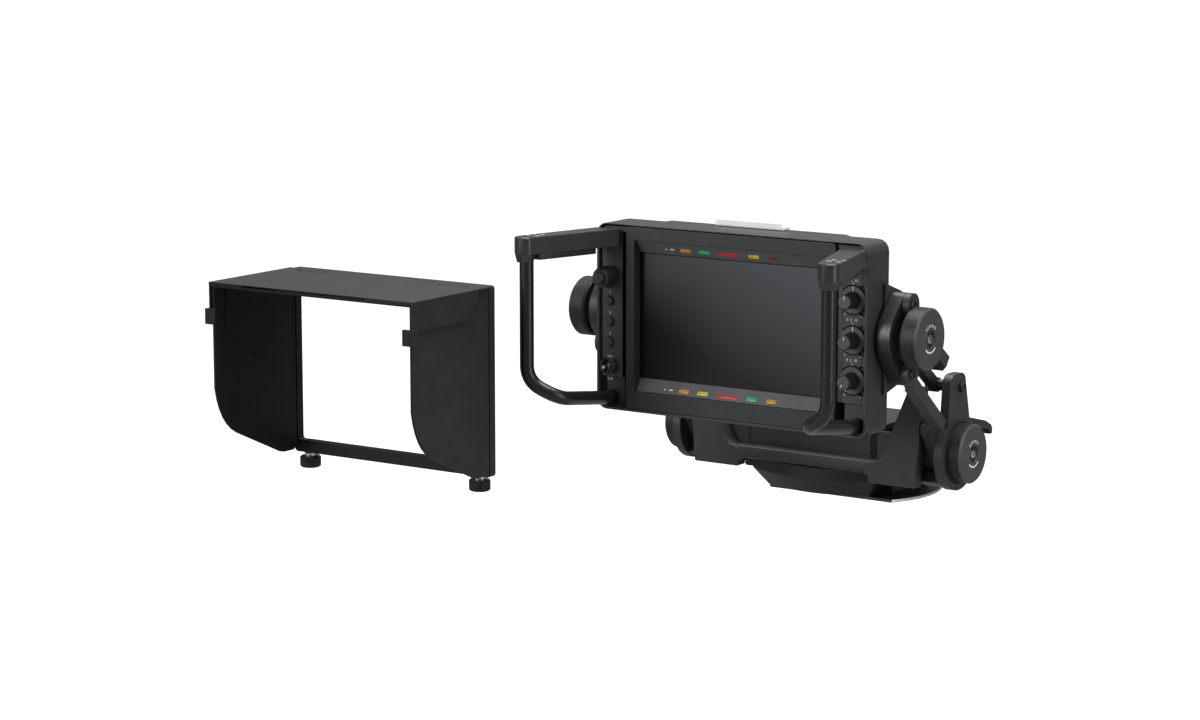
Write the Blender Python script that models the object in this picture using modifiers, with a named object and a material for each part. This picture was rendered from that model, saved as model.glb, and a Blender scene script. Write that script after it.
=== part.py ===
# Studio electronic viewfinder: a flat display with two grab handles, held by a
# parallel-arm linkage on a cast base, and its light hood, which stands off beside it.
# The frame has its origin under the middle of the mounting plate, +Z up, and the
# display faces -Y. Metres throughout. The feature that takes the most skill is the
# linkage: two front arms on a cross tube, two cranked rear links, and two egg-shaped
# carriers, which keep the head's angle while it rises.
import math

import bmesh
import bpy
from mathutils import Matrix, Vector

for old in list(bpy.data.objects):
    bpy.data.objects.remove(old, do_unlink=True)

# Clearances
TOUCH_GAP = 0.0003
RUN_GAP = 0.0004
SLIDE_GAP = 0.0005
MERGE = 0.00001

# Linkage: fixed pivots on the base, moving pivots on the carriers
LIFT_Y = -0.039
LIFT_Z = 0.047
PIVOT_RISE = 0.0525
RAIL_LENGTH = 0.13793
RAIL_ANGLE = math.radians(35.7)
TILT_SHIFT = -0.0012
TILT_RISE = 0.0282

RIGHT = 1
LEFT = -1
SIDES = ((RIGHT, "right"), (LEFT, "left"))

DOWN = -math.cos(RAIL_ANGLE)
RISE = math.sin(RAIL_ANGLE)
ARM_END_Y = LIFT_Y + RAIL_LENGTH * DOWN
ARM_END_Z = LIFT_Z + RAIL_LENGTH * RISE
LINK_Z = LIFT_Z + PIVOT_RISE
TILT_Y = ARM_END_Y + TILT_SHIFT
TILT_Z = ARM_END_Z + TILT_RISE

# Display case: its width sets the places of the side pieces, and it hangs on the tilt axis
CASE_HALF = 0.1215
CASE_HEIGHT = 0.1485
CASE_BOTTOM_Z = TILT_Z - 0.0752
CASE_TOP_Z = CASE_BOTTOM_Z + CASE_HEIGHT
CASE_FRONT_Y = TILT_Y - 0.0348

# Front housing and mounting plate
BLOCK_INNER_X = CASE_HALF - 0.0609
HOUSING_TOP_Z = 0.0268
HOUSING_WAIST_Z = 0.0170
HOUSING_HALF = BLOCK_INNER_X - 0.0036
HOUSING_NOSE_Y = -0.069
HOUSING_CORNER_Y = -0.053
HOUSING_FOOT_HALF = HOUSING_HALF - 0.0100
HOUSING_FOOT_NOSE_Y = -0.057
HOUSING_FOOT_CORNER_Y = -0.0444
HOUSING_BACK_Y = -0.022
HOUSING_NOTCH_X = 0.0155
HOUSING_NOTCH_WIDTH = 0.0030
HOUSING_NOTCH_HEIGHT = 0.0012
PLATE_RADIUS = 0.080
PLATE_THICK = 0.0025
PLATE_FLAT_Y = -0.0435
PLATE_CUT_X = 0.0460
PLATE_CUT_ANGLE = math.radians(176)
PLATE_STUD_X = HOUSING_HALF - 0.0170
PLATE_STUD_Y = 0.0300
PLATE_STUD_FRONT = 0.0120
STUD_RADIUS = 0.0025
STUD_TOP_Z = 0.0140

# Base casting
BASE_FRONT_Y = -0.0715
CHEEK_BACK_Y = -0.0590
BLOCK_OUTER_X = CASE_HALF - 0.0195
BLOCK_BOTTOM_Z = 0.0205
CHEEK_TOP_Z = 0.1010
CHEEK_TOP_INNER_X = CASE_HALF - 0.0255
CHEEK_FOOT_INNER_X = CASE_HALF - 0.0515
CHEEK_MID_X = CASE_HALF - 0.0145
CHEEK_MID_Z = 0.0790
CHEEK_WAIST_X = CASE_HALF - 0.0175
CHEEK_WAIST_Z = 0.0455
CHEEK_FILLET = 0.0066
ARCH_FILLET = 0.0041
WALL_OUTER_X = CASE_HALF - 0.0225
WALL_TOP_Y = -0.0500
WALL_TOP_Z = 0.0900
WALL_SHOULDER_Y = -0.0150
WALL_SHOULDER_Z = 0.0655
LEDGE_TOP_Z = 0.0380
LEDGE_THICK = 0.0106
LEDGE_BACK_Y = -0.0540
PANEL_FRONT_Y = -0.0605
PANEL_THICK = 0.0050
FLOOR_THICK = 0.0070
BASE_REAR_Y = 0.0420
REAR_WALL_THICK = 0.0040
PEDESTAL_HALF = HOUSING_HALF - 0.0010
PEDESTAL_REAR_Y = 0.0560

# Rear deck: a bent cover with its rear edge turned down
DECK_TOP_Z = 0.0660
DECK_THICK = 0.0050
DECK_FRONT_Y = -0.0545
DECK_BEND_Y = 0.0100
DECK_SLOPE_Y = 0.0400
DECK_SLOPE_Z = 0.0585
DECK_END_Y = 0.0520
DECK_END_Z = 0.0460
DECK_FRONT_HALF = CASE_HALF - 0.0540
DECK_MID_HALF = CASE_HALF - 0.0235
DECK_REAR_HALF = CASE_HALF - 0.0135
DECK_MID_Y = -0.0115
DECK_REAR_Y = 0.0060

# Uprights, which carry both fixed pivots
UPRIGHT_IN_X = CASE_HALF - 0.0039
UPRIGHT_OUT_X = CASE_HALF + 0.0035
UPRIGHT_DISC = 0.0305
UPRIGHT_FRONT_Y = -0.0600
UPRIGHT_HEAD_Y = -0.0570
UPRIGHT_TOP_Z = 0.1110
UPRIGHT_NECK_Y = -0.0300
UPRIGHT_NECK_Z = 0.1015
UPRIGHT_HIP_Y = -0.0230
UPRIGHT_SPOT_X = CASE_HALF + 0.0010
UPRIGHT_SPOT_RADIUS = 0.0250
FOOT_INNER = 0.0190
FOOT_OUTER = 0.0290
FOOT_FROM = math.radians(-128)
FOOT_TO = math.radians(52)

# Lift shaft, cross tube, hubs
SHAFT_RADIUS = 0.0060
SHAFT_END_X = CASE_HALF + 0.0090
TUBE_OUTER = 0.0100
TUBE_INNER = 0.0064
TUBE_END_X = CASE_HALF - 0.0050
HUB_RADIUS = 0.0175
HUB_IN_X = CASE_HALF - 0.0219
HUB_OUT_X = CASE_HALF - 0.0045

# Front arms
ARM_WIDTH = 0.0097
ARM_PLATE_X = CASE_HALF - 0.0135
ARM_BEND_FROM = 0.0385
ARM_BEND_TO = 0.0480
ARM_MID_OUT_X = CASE_HALF + 0.0100
ARM_MID_IN_X = CASE_HALF + 0.0010
ARM_END_OUT_X = CASE_HALF + 0.0155
ARM_END_IN_X = CASE_HALF + 0.0060
LOBE_IN_X = CASE_HALF + 0.0145
LOBE_OUT_X = CASE_HALF + 0.0200
LOBE_RADIUS = 0.0095
ARM_FLANGE_IN_X = CASE_HALF + 0.0047
ARM_FLANGE_OUT_X = CASE_HALF + 0.0065
ARM_FLANGE_FROM = 0.0800
ARM_FLANGE_TO = 0.1180
ARM_FLANGE_FOOT = 0.0020
ARM_FLANGE_RISE = 0.0092

# Rear links
LINK_WIDTH = 0.0105
LINK_BAR_WIDTH = 0.0080
LINK_BAR_IN_X = CASE_HALF - 0.0245
LINK_BAR_OUT_X = CASE_HALF - 0.0165
LINK_OUT_X = CASE_HALF + 0.0105
LINK_IN_X = CASE_HALF + 0.0031
LINK_STEP_FROM = 0.0350
LINK_STEP_TO = 0.0500
LINK_BEND_FROM = 0.0780
LINK_BEND_TO = 0.0895
LINK_END_X = CASE_HALF + 0.0185
LINK_EYE = 0.0060

# Carriers and trunnions
CARRIER_RADIUS = 0.0255
CARRIER_IN_X = CASE_HALF + 0.0031
CARRIER_OUT_X = CASE_HALF + 0.0141
TRUNNION_RADIUS = 0.0100
TRUNNION_STEP_X = CASE_HALF + 0.0135
TRUNNION_NECK = 0.0049
TRUNNION_END_X = CASE_HALF + 0.0285
SLEEVE_RADIUS = 0.0070
FLANGE_IN_X = CASE_HALF + 0.0003
FLANGE_OUT_X = CASE_HALF + 0.0027
FLANGE_FRONT_Y = CASE_FRONT_Y + 0.0240
FLANGE_REAR_Y = CASE_FRONT_Y + 0.0500
FLANGE_BOTTOM_Z = CASE_BOTTOM_Z + 0.0310
FLANGE_TOP_Z = CASE_TOP_Z - 0.0320
FLANGE_SLANT = 0.0060

# Lock knobs
KNOB_RADIUS = 0.02375
KNOB_DEPTH = 0.0146
KNOB_CHAMFER = 0.0013
KNOB_DISH_RADIUS = 0.0185
KNOB_DISH = 0.0007
LOWER_KNOB_X = CASE_HALF + 0.0014
UPPER_KNOB_X = CASE_HALF + 0.0209
KNOB_WEB = 0.0030
KNOB_WELL = 0.0038
KNOB_SCREW_HEAD = 0.0033
KNOB_SCREW_SHANK = 0.0016
KNOB_SCREW_HEIGHT = 0.0026

# Display head
CASE_CORNER = 0.0090
CASE_SEAM_Y = CASE_FRONT_Y + 0.0237
CASE_REAR_Y = CASE_FRONT_Y + 0.0340
CASE_SIDE = 0.0022
CASE_RIM = 0.0022
CASE_SHELL = 0.0025
HUMP_HALF = CASE_HALF - 0.0335
HUMP_BOTTOM_Z = CASE_BOTTOM_Z + 0.0165
HUMP_REAR_Y = CASE_FRONT_Y + 0.0440
BEZEL_HALF = CASE_HALF - 0.0276
BEZEL_BOTTOM_Z = CASE_BOTTOM_Z + 0.0025
BEZEL_TOP_Z = CASE_TOP_Z - 0.0016
BEZEL_OPEN_HALF = CASE_HALF - 0.0350
BEZEL_OPEN_BOTTOM_Z = CASE_BOTTOM_Z + 0.0165
BEZEL_OPEN_TOP_Z = CASE_TOP_Z - 0.0122
BEZEL_BACK_Y = CASE_FRONT_Y + 0.0210
WINDOW_FRONT_Y = CASE_FRONT_Y + 0.0087
WINDOW_THICK = 0.0022
WINDOW_BOTTOM_Z = CASE_BOTTOM_Z + 0.0235
WINDOW_TOP_Z = CASE_TOP_Z - 0.0190
TALLY_INNER_BOTTOM_Z = CASE_BOTTOM_Z + 0.0265
TALLY_INNER_TOP_Z = CASE_TOP_Z - 0.0220
TALLY_LIP_Y = CASE_FRONT_Y + 0.0025
PANEL_HALF = CASE_HALF - 0.0375
PANEL_BOTTOM_Z = CASE_BOTTOM_Z + 0.0255
PANEL_TOP_Z = CASE_TOP_Z - 0.0210
LCD_THICK = 0.0050
FRAME_HALF = CASE_HALF - 0.0075
FRAME_MARGIN = 0.0060
FRAME_THICK = 0.0016
BOARD_HALF = CASE_HALF - 0.0415
BOARD_THICK = 0.0016
CHIP_SIZE = 0.0140
CHIP_HEIGHT = 0.0022

# Control strips and their controls
STRIP_IN_X = CASE_HALF - 0.0226
STRIP_OUT_X = CASE_HALF - 0.0027
STRIP_BOTTOM_Z = CASE_BOTTOM_Z + 0.0260
STRIP_TOP_Z = CASE_TOP_Z - 0.0068
STRIP_FRONT_Y = CASE_FRONT_Y + 0.0030
STRIP_THICK = 0.0030
POCKET_FLOOR_Y = CASE_FRONT_Y + 0.0070
CONTROL_X = CASE_HALF - 0.0137
STRIP_HEIGHT = STRIP_TOP_Z - STRIP_BOTTOM_Z
KNOB_ROW_SHARES = (0.317, 0.582, 0.848)
BUTTON_ROW_SHARES = (0.477, 0.620, 0.762)
DIAL_SHARE = 0.308
TOGGLE_SHARE = 0.926
DISC_RADIUS = 0.0112
DISC_THICK = 0.0022
WELL_DEPTH = 0.0020
NOTCH_IN_X = CONTROL_X + 0.0060
CAP_ROOT = 0.0069
CAP_RADIUS = 0.0056
CAP_EDGE = 0.0006
CAP_END_Y = CASE_FRONT_Y - 0.0145
CAP_STEM = 0.0030
POT_BACK_Y = CASE_FRONT_Y + 0.0110
POT_SIZE = 0.0100
LEFT_X = CASE_HALF - 0.0107
DIAL_Z = STRIP_TOP_Z - STRIP_HEIGHT * DIAL_SHARE
DIAL_RADIUS = 0.0085
DIAL_NOSE = 0.0064
DIAL_END_Y = CASE_FRONT_Y - 0.0120
MENU_CAP_RADIUS = 0.0045
MENU_CAP_END_Y = CASE_FRONT_Y - 0.0148
MENU_CAP_TRAVEL = 0.0010
BUTTON_RADIUS = 0.0036
BUTTON_END_Y = CASE_FRONT_Y - 0.0002
BUTTON_TRAVEL = 0.0012
TOGGLE_Z = STRIP_TOP_Z - STRIP_HEIGHT * TOGGLE_SHARE
TOGGLE_PIVOT_Y = CASE_FRONT_Y + 0.0014
TOGGLE_BAT = 0.0095
TOGGLE_RADIUS = 0.0014
TOGGLE_COLLAR = 0.0034

# Tally lens on top, rear socket
LENS_HALF = 0.0315
LENS_CROWN_HALF = 0.0290
LENS_FRONT_Y = CASE_FRONT_Y + 0.0300
LENS_REAR_Y = CASE_FRONT_Y + 0.0400
LENS_TOP_Z = CASE_TOP_Z + 0.0065
SOCKET_X = 0.0400
SOCKET_Z = CASE_BOTTOM_Z + 0.0445
SOCKET_RADIUS = 0.0080
SOCKET_BORE = 0.0060
SOCKET_LENGTH = 0.0080

# Handles
TUBE_X = CASE_HALF + 0.0120
TUBE_Y = CASE_FRONT_Y - 0.0790
TUBE_RADIUS = 0.0055
TUBE_TOP_Z = CASE_TOP_Z - 0.0148
TUBE_KNEE_Z = CASE_BOTTOM_Z + 0.0315
TUBE_CORNER_X = CASE_HALF - 0.0119
TUBE_CORNER_Y = CASE_FRONT_Y - 0.0695
TUBE_CORNER_Z = CASE_BOTTOM_Z + 0.0190
TUBE_ENTRY_X = CASE_HALF - 0.0105
TUBE_ENTRY_Z = CASE_BOTTOM_Z + 0.0088
TUBE_END_Y = CASE_FRONT_Y + 0.0095
TUBE_BEND = 0.0170
BLOCK_X = CASE_HALF + 0.0125
BLOCK_Y = CASE_FRONT_Y - 0.0800
BLOCK_RADIUS = 0.0084
BLOCK_TOP_Z = CASE_TOP_Z - 0.0040
BLOCK_ARM_Z = CASE_TOP_Z - 0.0175
BLOCK_COLLAR_Z = CASE_TOP_Z - 0.0235
BLOCK_COLLAR_RADIUS = 0.0066
BLOCK_ROOT_X = CASE_HALF - 0.0111
BLOCK_ROOT_HALF = 0.0107
BLOCK_TENON_OUT_X = CASE_HALF - 0.0052
BLOCK_FIN_THICK = 0.0010
BLOCK_FIN_FROM_Y = CASE_FRONT_Y - 0.0080
BLOCK_FIN_TO_Y = CASE_FRONT_Y + 0.0115
BLOCK_FIN_TOP_Z = CASE_TOP_Z - 0.0118
BLOCK_FIN_BOTTOM_Z = CASE_TOP_Z - 0.0187
BLOCK_FIN_TAPER = 0.0012

# Hood
HOOD_X = -0.2512
HOOD_BOTTOM_Z = 0.0370
HOOD_TOP_Z = 0.1870
HOOD_REAR_Y = -0.2796
HOOD_FRAME_Y = -0.2870
HOOD_FRONT_Y = -0.3870
HOOD_FRAME_HALF = 0.0972
HOOD_FRAME_SIDE = 0.0032
HOOD_FRAME_BAR = 0.0100
HOOD_FRAME_HEAD = 0.0025
HOOD_TOP_HALF = 0.0990
HOOD_TOP_THICK = 0.0019
HOOD_SKIRT_THICK = 0.0017
HOOD_SKIRT_Z = 0.1640
HOOD_SKIRT_REAR_Y = -0.3179
HOOD_SKIRT_END_Y = -0.3020
HOOD_WALL_MID = 0.0960
HOOD_WALL_THICK = 0.0020
HOOD_WALL_FRONT_Y = -0.3855
HOOD_WALL_STEP = 0.0028
HOOD_WALL_CURVE_Z = 0.1030
HOOD_WALL_KNEE_Y = -0.3610
HOOD_WALL_KNEE_Z = 0.0640
HOOD_WALL_FOOT_Y = -0.3080
HOOD_WALL_FOOT_Z = 0.0390
HOOD_LATCH_REACH = 0.0100
HOOD_LATCH_DROP = 0.0100
HOOD_LATCH_IN_X = 0.0910
THUMB_X = 0.0844
THUMB_Y = -0.2833
THUMB_RADIUS = 0.0086
THUMB_BOTTOM_Z = 0.0250
THUMB_HEIGHT = 0.0092
THUMB_STEM = 0.0030
THUMB_STEM_TOP_Z = 0.0462

# Small fasteners
DOWEL_RADIUS = 0.0020
DOWEL_LENGTH = 0.0050
PIVOT_HEAD = 0.0042
PIVOT_SHANK = 0.0025
PIVOT_SHOULDER = 0.0046
PIVOT_HEAD_HEIGHT = 0.0018
LOBE_SCREW_HEAD = 0.0046
LOBE_SCREW_SHANK = 0.0028
LOBE_SCREW_HEIGHT = 0.0004

# Fineness of round shapes
FINE_STEPS = 24
ROUND_STEPS = 16
SMALL_STEPS = 8

parts = bpy.data.collections.new("electronic_viewfinder")
cutters = bpy.data.collections.new("cutters")
bpy.context.scene.collection.children.link(parts)
bpy.context.scene.collection.children.link(cutters)


def finish(name, colour, roughness, metallic):
    """A plain material with the part's colour, roughness and metallic value."""
    made = bpy.data.materials.new(name)
    made.use_nodes = True
    shader = made.node_tree.nodes["Principled BSDF"]
    shader.inputs["Base Color"].default_value = (*colour, 1)
    shader.inputs["Roughness"].default_value = roughness
    shader.inputs["Metallic"].default_value = metallic
    return made


def add(name, mesh, look):
    """Put a mesh into the object's collection, shaded smooth up to its sharp edges."""
    mesh.materials.clear()
    mesh.materials.append(look)
    mesh.shade_smooth()
    mesh.set_sharp_from_angle(angle=math.radians(35))
    made = bpy.data.objects.new(name, mesh)
    parts.objects.link(made)
    return made


def pivot(item, point):
    """Move an object's origin to a point on its joint's axis."""
    item.data.transform(Matrix.Translation(-Vector(point)))
    item.location = point
    return item


def tool(item):
    """Keep an object only as a cutter or as a piece to be joined on."""
    if item.name in parts.objects:
        parts.objects.unlink(item)
        cutters.objects.link(item)
    item.hide_render = True
    item.display_type = "WIRE"
    return item


def boolean(item, other, operation):
    step = item.modifiers.new(operation.title(), "BOOLEAN")
    step.operation = operation
    step.solver = "EXACT"
    step.object = tool(other)
    return item


def cut(item, *others):
    for other in others:
        boolean(item, other, "DIFFERENCE")
    return item


def join(item, *others):
    for other in others:
        boolean(item, other, "UNION")
    return item


def soften(item, width, segments):
    """Round an object's edges."""
    step = item.modifiers.new("Soft edges", "BEVEL")
    step.width = width
    step.segments = segments
    step.limit_method = "ANGLE"
    step.angle_limit = math.radians(40)
    return item


def frame_for(axis, side=RIGHT):
    """Axes of a flat outline: its two directions, then the direction it is thick in."""
    if axis == "X":
        return Matrix(((0, 0, side, 0), (1, 0, 0, 0), (0, 1, 0, 0), (0, 0, 0, 1)))
    if axis == "Y":
        return Matrix(((1, 0, 0, 0), (0, 0, -1, 0), (0, 1, 0, 0), (0, 0, 0, 1)))
    return Matrix.Identity(4)


def slab(name, loops, start, end, frame, look):
    """A flat outline, with any holes, made thick between two levels of its frame."""
    curve = bpy.data.curves.new(name, "CURVE")
    curve.dimensions = "2D"
    curve.fill_mode = "BOTH"
    curve.extrude = (end - start) / 2
    for loop in loops:
        spline = curve.splines.new("POLY")
        spline.points.add(len(loop) - 1)
        for point, place in zip(spline.points, loop):
            point.co = (place[0], place[1], 0, 1)
        spline.use_cyclic_u = True
    guide = bpy.data.objects.new(name, curve)
    bpy.context.scene.collection.objects.link(guide)
    bpy.context.view_layer.update()
    ready = guide.evaluated_get(bpy.context.evaluated_depsgraph_get())
    mesh = bpy.data.meshes.new_from_object(ready)
    bpy.data.objects.remove(guide, do_unlink=True)
    shape = bmesh.new()
    shape.from_mesh(mesh)
    bmesh.ops.remove_doubles(shape, verts=shape.verts, dist=MERGE)
    shape.to_mesh(mesh)
    shape.free()
    placed = frame @ Matrix.Translation((0, 0, (start + end) / 2))
    mesh.transform(placed)
    if placed.determinant() < 0:
        mesh.flip_normals()
    return add(name, mesh, look)


def side_slab(name, loops, inner, outer, side, look):
    """A plate seen from the side, between two distances from the middle plane."""
    return slab(name, loops, inner, outer, frame_for("X", side), look)


def front_slab(name, loops, front, back, look):
    """A plate seen from the front, between two depths."""
    return slab(name, loops, -back, -front, frame_for("Y"), look)


def box(name, low, high, look):
    shape = bmesh.new()
    bmesh.ops.create_cube(shape, size=1)
    size = [top - bottom for bottom, top in zip(low, high)]
    middle = [(top + bottom) / 2 for bottom, top in zip(low, high)]
    bmesh.ops.scale(shape, vec=size, verts=shape.verts)
    bmesh.ops.translate(shape, vec=middle, verts=shape.verts)
    mesh = bpy.data.meshes.new(name)
    shape.to_mesh(mesh)
    shape.free()
    return add(name, mesh, look)


def side_box(name, side, inner, outer, front, back, bottom, top, look):
    """A box at one side, between two distances from the middle plane."""
    near = min(side * inner, side * outer)
    far = max(side * inner, side * outer)
    return box(name, (near, front, bottom), (far, back, top), look)


def axis_frame(axis, centre):
    """Placement whose local Z is a turned piece's axis: right, left, front or up."""
    turn = {
        "right": Matrix(((0, 0, 1), (1, 0, 0), (0, 1, 0))),
        "left": Matrix(((0, 0, -1), (1, 0, 0), (0, -1, 0))),
        "front": Matrix(((1, 0, 0), (0, 0, -1), (0, 1, 0))),
        "up": Matrix.Identity(3),
    }[axis]
    return Matrix.Translation(centre) @ turn.to_4x4()


def turned(name, profile, closed, steps, frame, look):
    """A turned piece: its profile runs down the outer side, (radius, height)."""
    shape = bmesh.new()
    corners = [shape.verts.new((radius, 0, height)) for radius, height in profile]
    for first, second in zip(corners, corners[1:]):
        shape.edges.new((first, second))
    if closed:
        shape.edges.new((corners[-1], corners[0]))
    mesh = bpy.data.meshes.new(name)
    shape.to_mesh(mesh)
    shape.free()
    item = add(name, mesh, look)
    item.matrix_world = frame
    screw = item.modifiers.new("Turn", "SCREW")
    screw.axis = "Z"
    screw.angle = math.tau
    screw.steps = steps
    screw.render_steps = steps
    screw.use_merge_vertices = True
    screw.merge_threshold = MERGE
    screw.use_smooth_shade = True
    return item


def rod(name, radius, bottom, top, steps, frame, look):
    """A plain cylinder along its frame's Z."""
    shape = bmesh.new()
    bmesh.ops.create_cone(
        shape, cap_ends=True, segments=steps, radius1=radius, radius2=radius, depth=top - bottom
    )
    bmesh.ops.translate(shape, vec=(0, 0, (top + bottom) / 2), verts=shape.verts)
    mesh = bpy.data.meshes.new(name)
    shape.to_mesh(mesh)
    shape.free()
    item = add(name, mesh, look)
    item.matrix_world = frame
    return item


def arc(centre, radius, start, end, steps):
    """Points along an arc, from one angle to another."""
    points = []
    for step in range(steps + 1):
        angle = start + (end - start) * step / steps
        points.append((centre[0] + radius * math.cos(angle), centre[1] + radius * math.sin(angle)))
    return points


def bend(start, corner, end, steps):
    """Points along a smooth bend that would meet at its corner."""
    points = []
    for step in range(steps + 1):
        share = step / steps
        first = Vector(start).lerp(Vector(corner), share)
        second = Vector(corner).lerp(Vector(end), share)
        points.append(tuple(first.lerp(second, share)))
    return points


def ring_of(centre, radius, steps):
    return arc(centre, radius, 0, math.tau, steps)[:-1]


def rounded_box(left, right, bottom, top, radius, steps):
    """A rectangle with round corners."""
    quarter = math.pi / 2
    points = []
    corners = ((right, top), (left, top), (left, bottom), (right, bottom))
    for turn, (across, up) in enumerate(corners):
        inward = (
            across - radius if across == right else across + radius,
            up - radius if up == top else up + radius,
        )
        points += arc(inward, radius, turn * quarter, (turn + 1) * quarter, steps)
    return points


def hull(points):
    """The outline that a band stretched round the points would take."""
    ordered = sorted(set(points))
    edges = []
    for run in (ordered, ordered[::-1]):
        chain = []
        for point in run:
            while len(chain) > 1:
                first, second = chain[-2], chain[-1]
                turn = (second[0] - first[0]) * (point[1] - first[1])
                turn -= (second[1] - first[1]) * (point[0] - first[0])
                if turn > 0:
                    break
                chain.pop()
            chain.append(point)
        edges += chain[:-1]
    return edges


black = finish("textured_black", (0.028, 0.028, 0.030), 0.55, 0.0)
casting = finish("painted_casting", (0.040, 0.040, 0.043), 0.50, 0.0)
moulding = finish("matt_moulding", (0.020, 0.020, 0.021), 0.60, 0.0)
knob_look = finish("knob_black", (0.035, 0.035, 0.037), 0.50, 0.0)
steel = finish("bare_steel", (0.62, 0.62, 0.60), 0.30, 1.0)
dark_steel = finish("dark_steel", (0.10, 0.10, 0.10), 0.40, 1.0)
glass_look = finish("screen_gloss", (0.010, 0.010, 0.012), 0.08, 0.0)
white = finish("white_lens", (0.85, 0.85, 0.84), 0.35, 0.0)
hood_look = finish("hood_black", (0.045, 0.045, 0.047), 0.55, 0.0)
board_look = finish("board_green", (0.03, 0.16, 0.07), 0.50, 0.0)
metal_plate = finish("plated_frame", (0.50, 0.50, 0.49), 0.40, 1.0)

# Mounting plate: a disc cut straight at the front and again at its left front corner, with
# four studs up into the base
flat_angle = math.asin(PLATE_FLAT_Y / PLATE_RADIUS)
plate_outline = arc((0, 0), PLATE_RADIUS, flat_angle, PLATE_CUT_ANGLE, FINE_STEPS * 2)
plate_outline += [(-PLATE_CUT_X, PLATE_FLAT_Y)]
mounting_plate = slab(
    "mounting_plate", [plate_outline], 0, PLATE_THICK, frame_for("Z"), steel
)
base_holes = []
stud_places = [
    (PLATE_STUD_X, PLATE_STUD_Y),
    (-PLATE_STUD_X, PLATE_STUD_Y),
    (PLATE_STUD_X, -PLATE_STUD_FRONT),
    (-PLATE_STUD_X, -PLATE_STUD_FRONT),
]
for across, along in stud_places:
    place = axis_frame("up", (across, along, 0))
    stud = rod("stud", STUD_RADIUS, PLATE_THICK / 2, STUD_TOP_Z, SMALL_STEPS, place, dark_steel)
    join(mounting_plate, stud)
    base_holes.append(
        rod(
            "stud_bore",
            STUD_RADIUS + TOUCH_GAP,
            PLATE_THICK / 2,
            STUD_TOP_Z + SLIDE_GAP,
            SMALL_STEPS,
            place,
            casting,
        )
    )

# Front housing: a moulding with a curved nose, drawn in towards its foot
def nose_outline(half, corner, nose, back, steps):
    """A straight-backed outline whose front is one shallow arc."""
    sag = corner - nose
    radius = (half * half + sag * sag) / (2 * sag)
    middle = nose + radius
    spread = math.asin(half / radius)
    points = arc((0, middle), radius, -math.pi / 2 - spread, -math.pi / 2 + spread, steps)
    return points + [(half, back), (-half, back)]


def loft(name, levels, look):
    """A solid through like outlines at several heights."""
    shape = bmesh.new()
    rows = []
    for outline, height in levels:
        rows.append([shape.verts.new((across, along, height)) for across, along in outline])
    for lower, upper in zip(rows, rows[1:]):
        count = len(lower)
        for index in range(count):
            after = (index + 1) % count
            shape.faces.new((lower[index], lower[after], upper[after], upper[index]))
    shape.faces.new(rows[0][::-1])
    shape.faces.new(rows[-1])
    mesh = bpy.data.meshes.new(name)
    shape.to_mesh(mesh)
    shape.free()
    return add(name, mesh, look)


upper_nose = nose_outline(HOUSING_HALF, HOUSING_CORNER_Y, HOUSING_NOSE_Y, HOUSING_BACK_Y, SMALL_STEPS)
foot_nose = nose_outline(
    HOUSING_FOOT_HALF, HOUSING_FOOT_CORNER_Y, HOUSING_FOOT_NOSE_Y, HOUSING_BACK_Y, SMALL_STEPS
)
front_housing = loft(
    "front_housing",
    [
        (foot_nose, PLATE_THICK + TOUCH_GAP),
        (upper_nose, HOUSING_WAIST_Z),
        (upper_nose, HOUSING_TOP_Z),
    ],
    moulding,
)
for side in (RIGHT, LEFT):
    near = side * HOUSING_NOTCH_X - HOUSING_NOTCH_WIDTH / 2
    notch = box(
        "notch",
        (near, HOUSING_FOOT_NOSE_Y - HOUSING_NOTCH_WIDTH, 0),
        (
            near + HOUSING_NOTCH_WIDTH,
            HOUSING_FOOT_NOSE_Y + HOUSING_NOTCH_WIDTH,
            PLATE_THICK + TOUCH_GAP + HOUSING_NOTCH_HEIGHT,
        ),
        moulding,
    )
    cut(front_housing, notch)

# Base casting: floor, pedestal, ledge, panel, rear wall and two leaning cheeks
floor_top = HOUSING_TOP_Z + TOUCH_GAP + FLOOR_THICK
base_casting = box(
    "base_casting",
    (-WALL_OUTER_X + TOUCH_GAP, PANEL_FRONT_Y, HOUSING_TOP_Z + TOUCH_GAP),
    (WALL_OUTER_X - TOUCH_GAP, BASE_REAR_Y - TOUCH_GAP, floor_top),
    casting,
)
pedestal = box(
    "pedestal",
    (-PEDESTAL_HALF, HOUSING_BACK_Y + TOUCH_GAP, PLATE_THICK + TOUCH_GAP),
    (PEDESTAL_HALF, BASE_REAR_Y - SLIDE_GAP, floor_top - SLIDE_GAP),
    casting,
)
ledge = box(
    "ledge",
    (-CHEEK_FOOT_INNER_X - LEDGE_THICK / 3, BASE_FRONT_Y + SLIDE_GAP, LEDGE_TOP_Z - LEDGE_THICK),
    (CHEEK_FOOT_INNER_X + LEDGE_THICK / 3, LEDGE_BACK_Y, LEDGE_TOP_Z),
    casting,
)
soften(ledge, LEDGE_THICK / 4, 2)
deck_under = DECK_TOP_Z - DECK_THICK
panel = box(
    "panel",
    (-WALL_OUTER_X + SLIDE_GAP, PANEL_FRONT_Y + TOUCH_GAP, LEDGE_TOP_Z - LEDGE_THICK / 2),
    (WALL_OUTER_X - SLIDE_GAP, PANEL_FRONT_Y + PANEL_THICK, deck_under - TOUCH_GAP),
    casting,
)
rear_wall = box(
    "rear_wall",
    (-WALL_OUTER_X + SLIDE_GAP, BASE_REAR_Y - REAR_WALL_THICK, BLOCK_BOTTOM_Z + SLIDE_GAP),
    (WALL_OUTER_X - SLIDE_GAP, BASE_REAR_Y - SLIDE_GAP, DECK_END_Z),
    casting,
)
join(base_casting, pedestal, ledge, panel, rear_wall)
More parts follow.
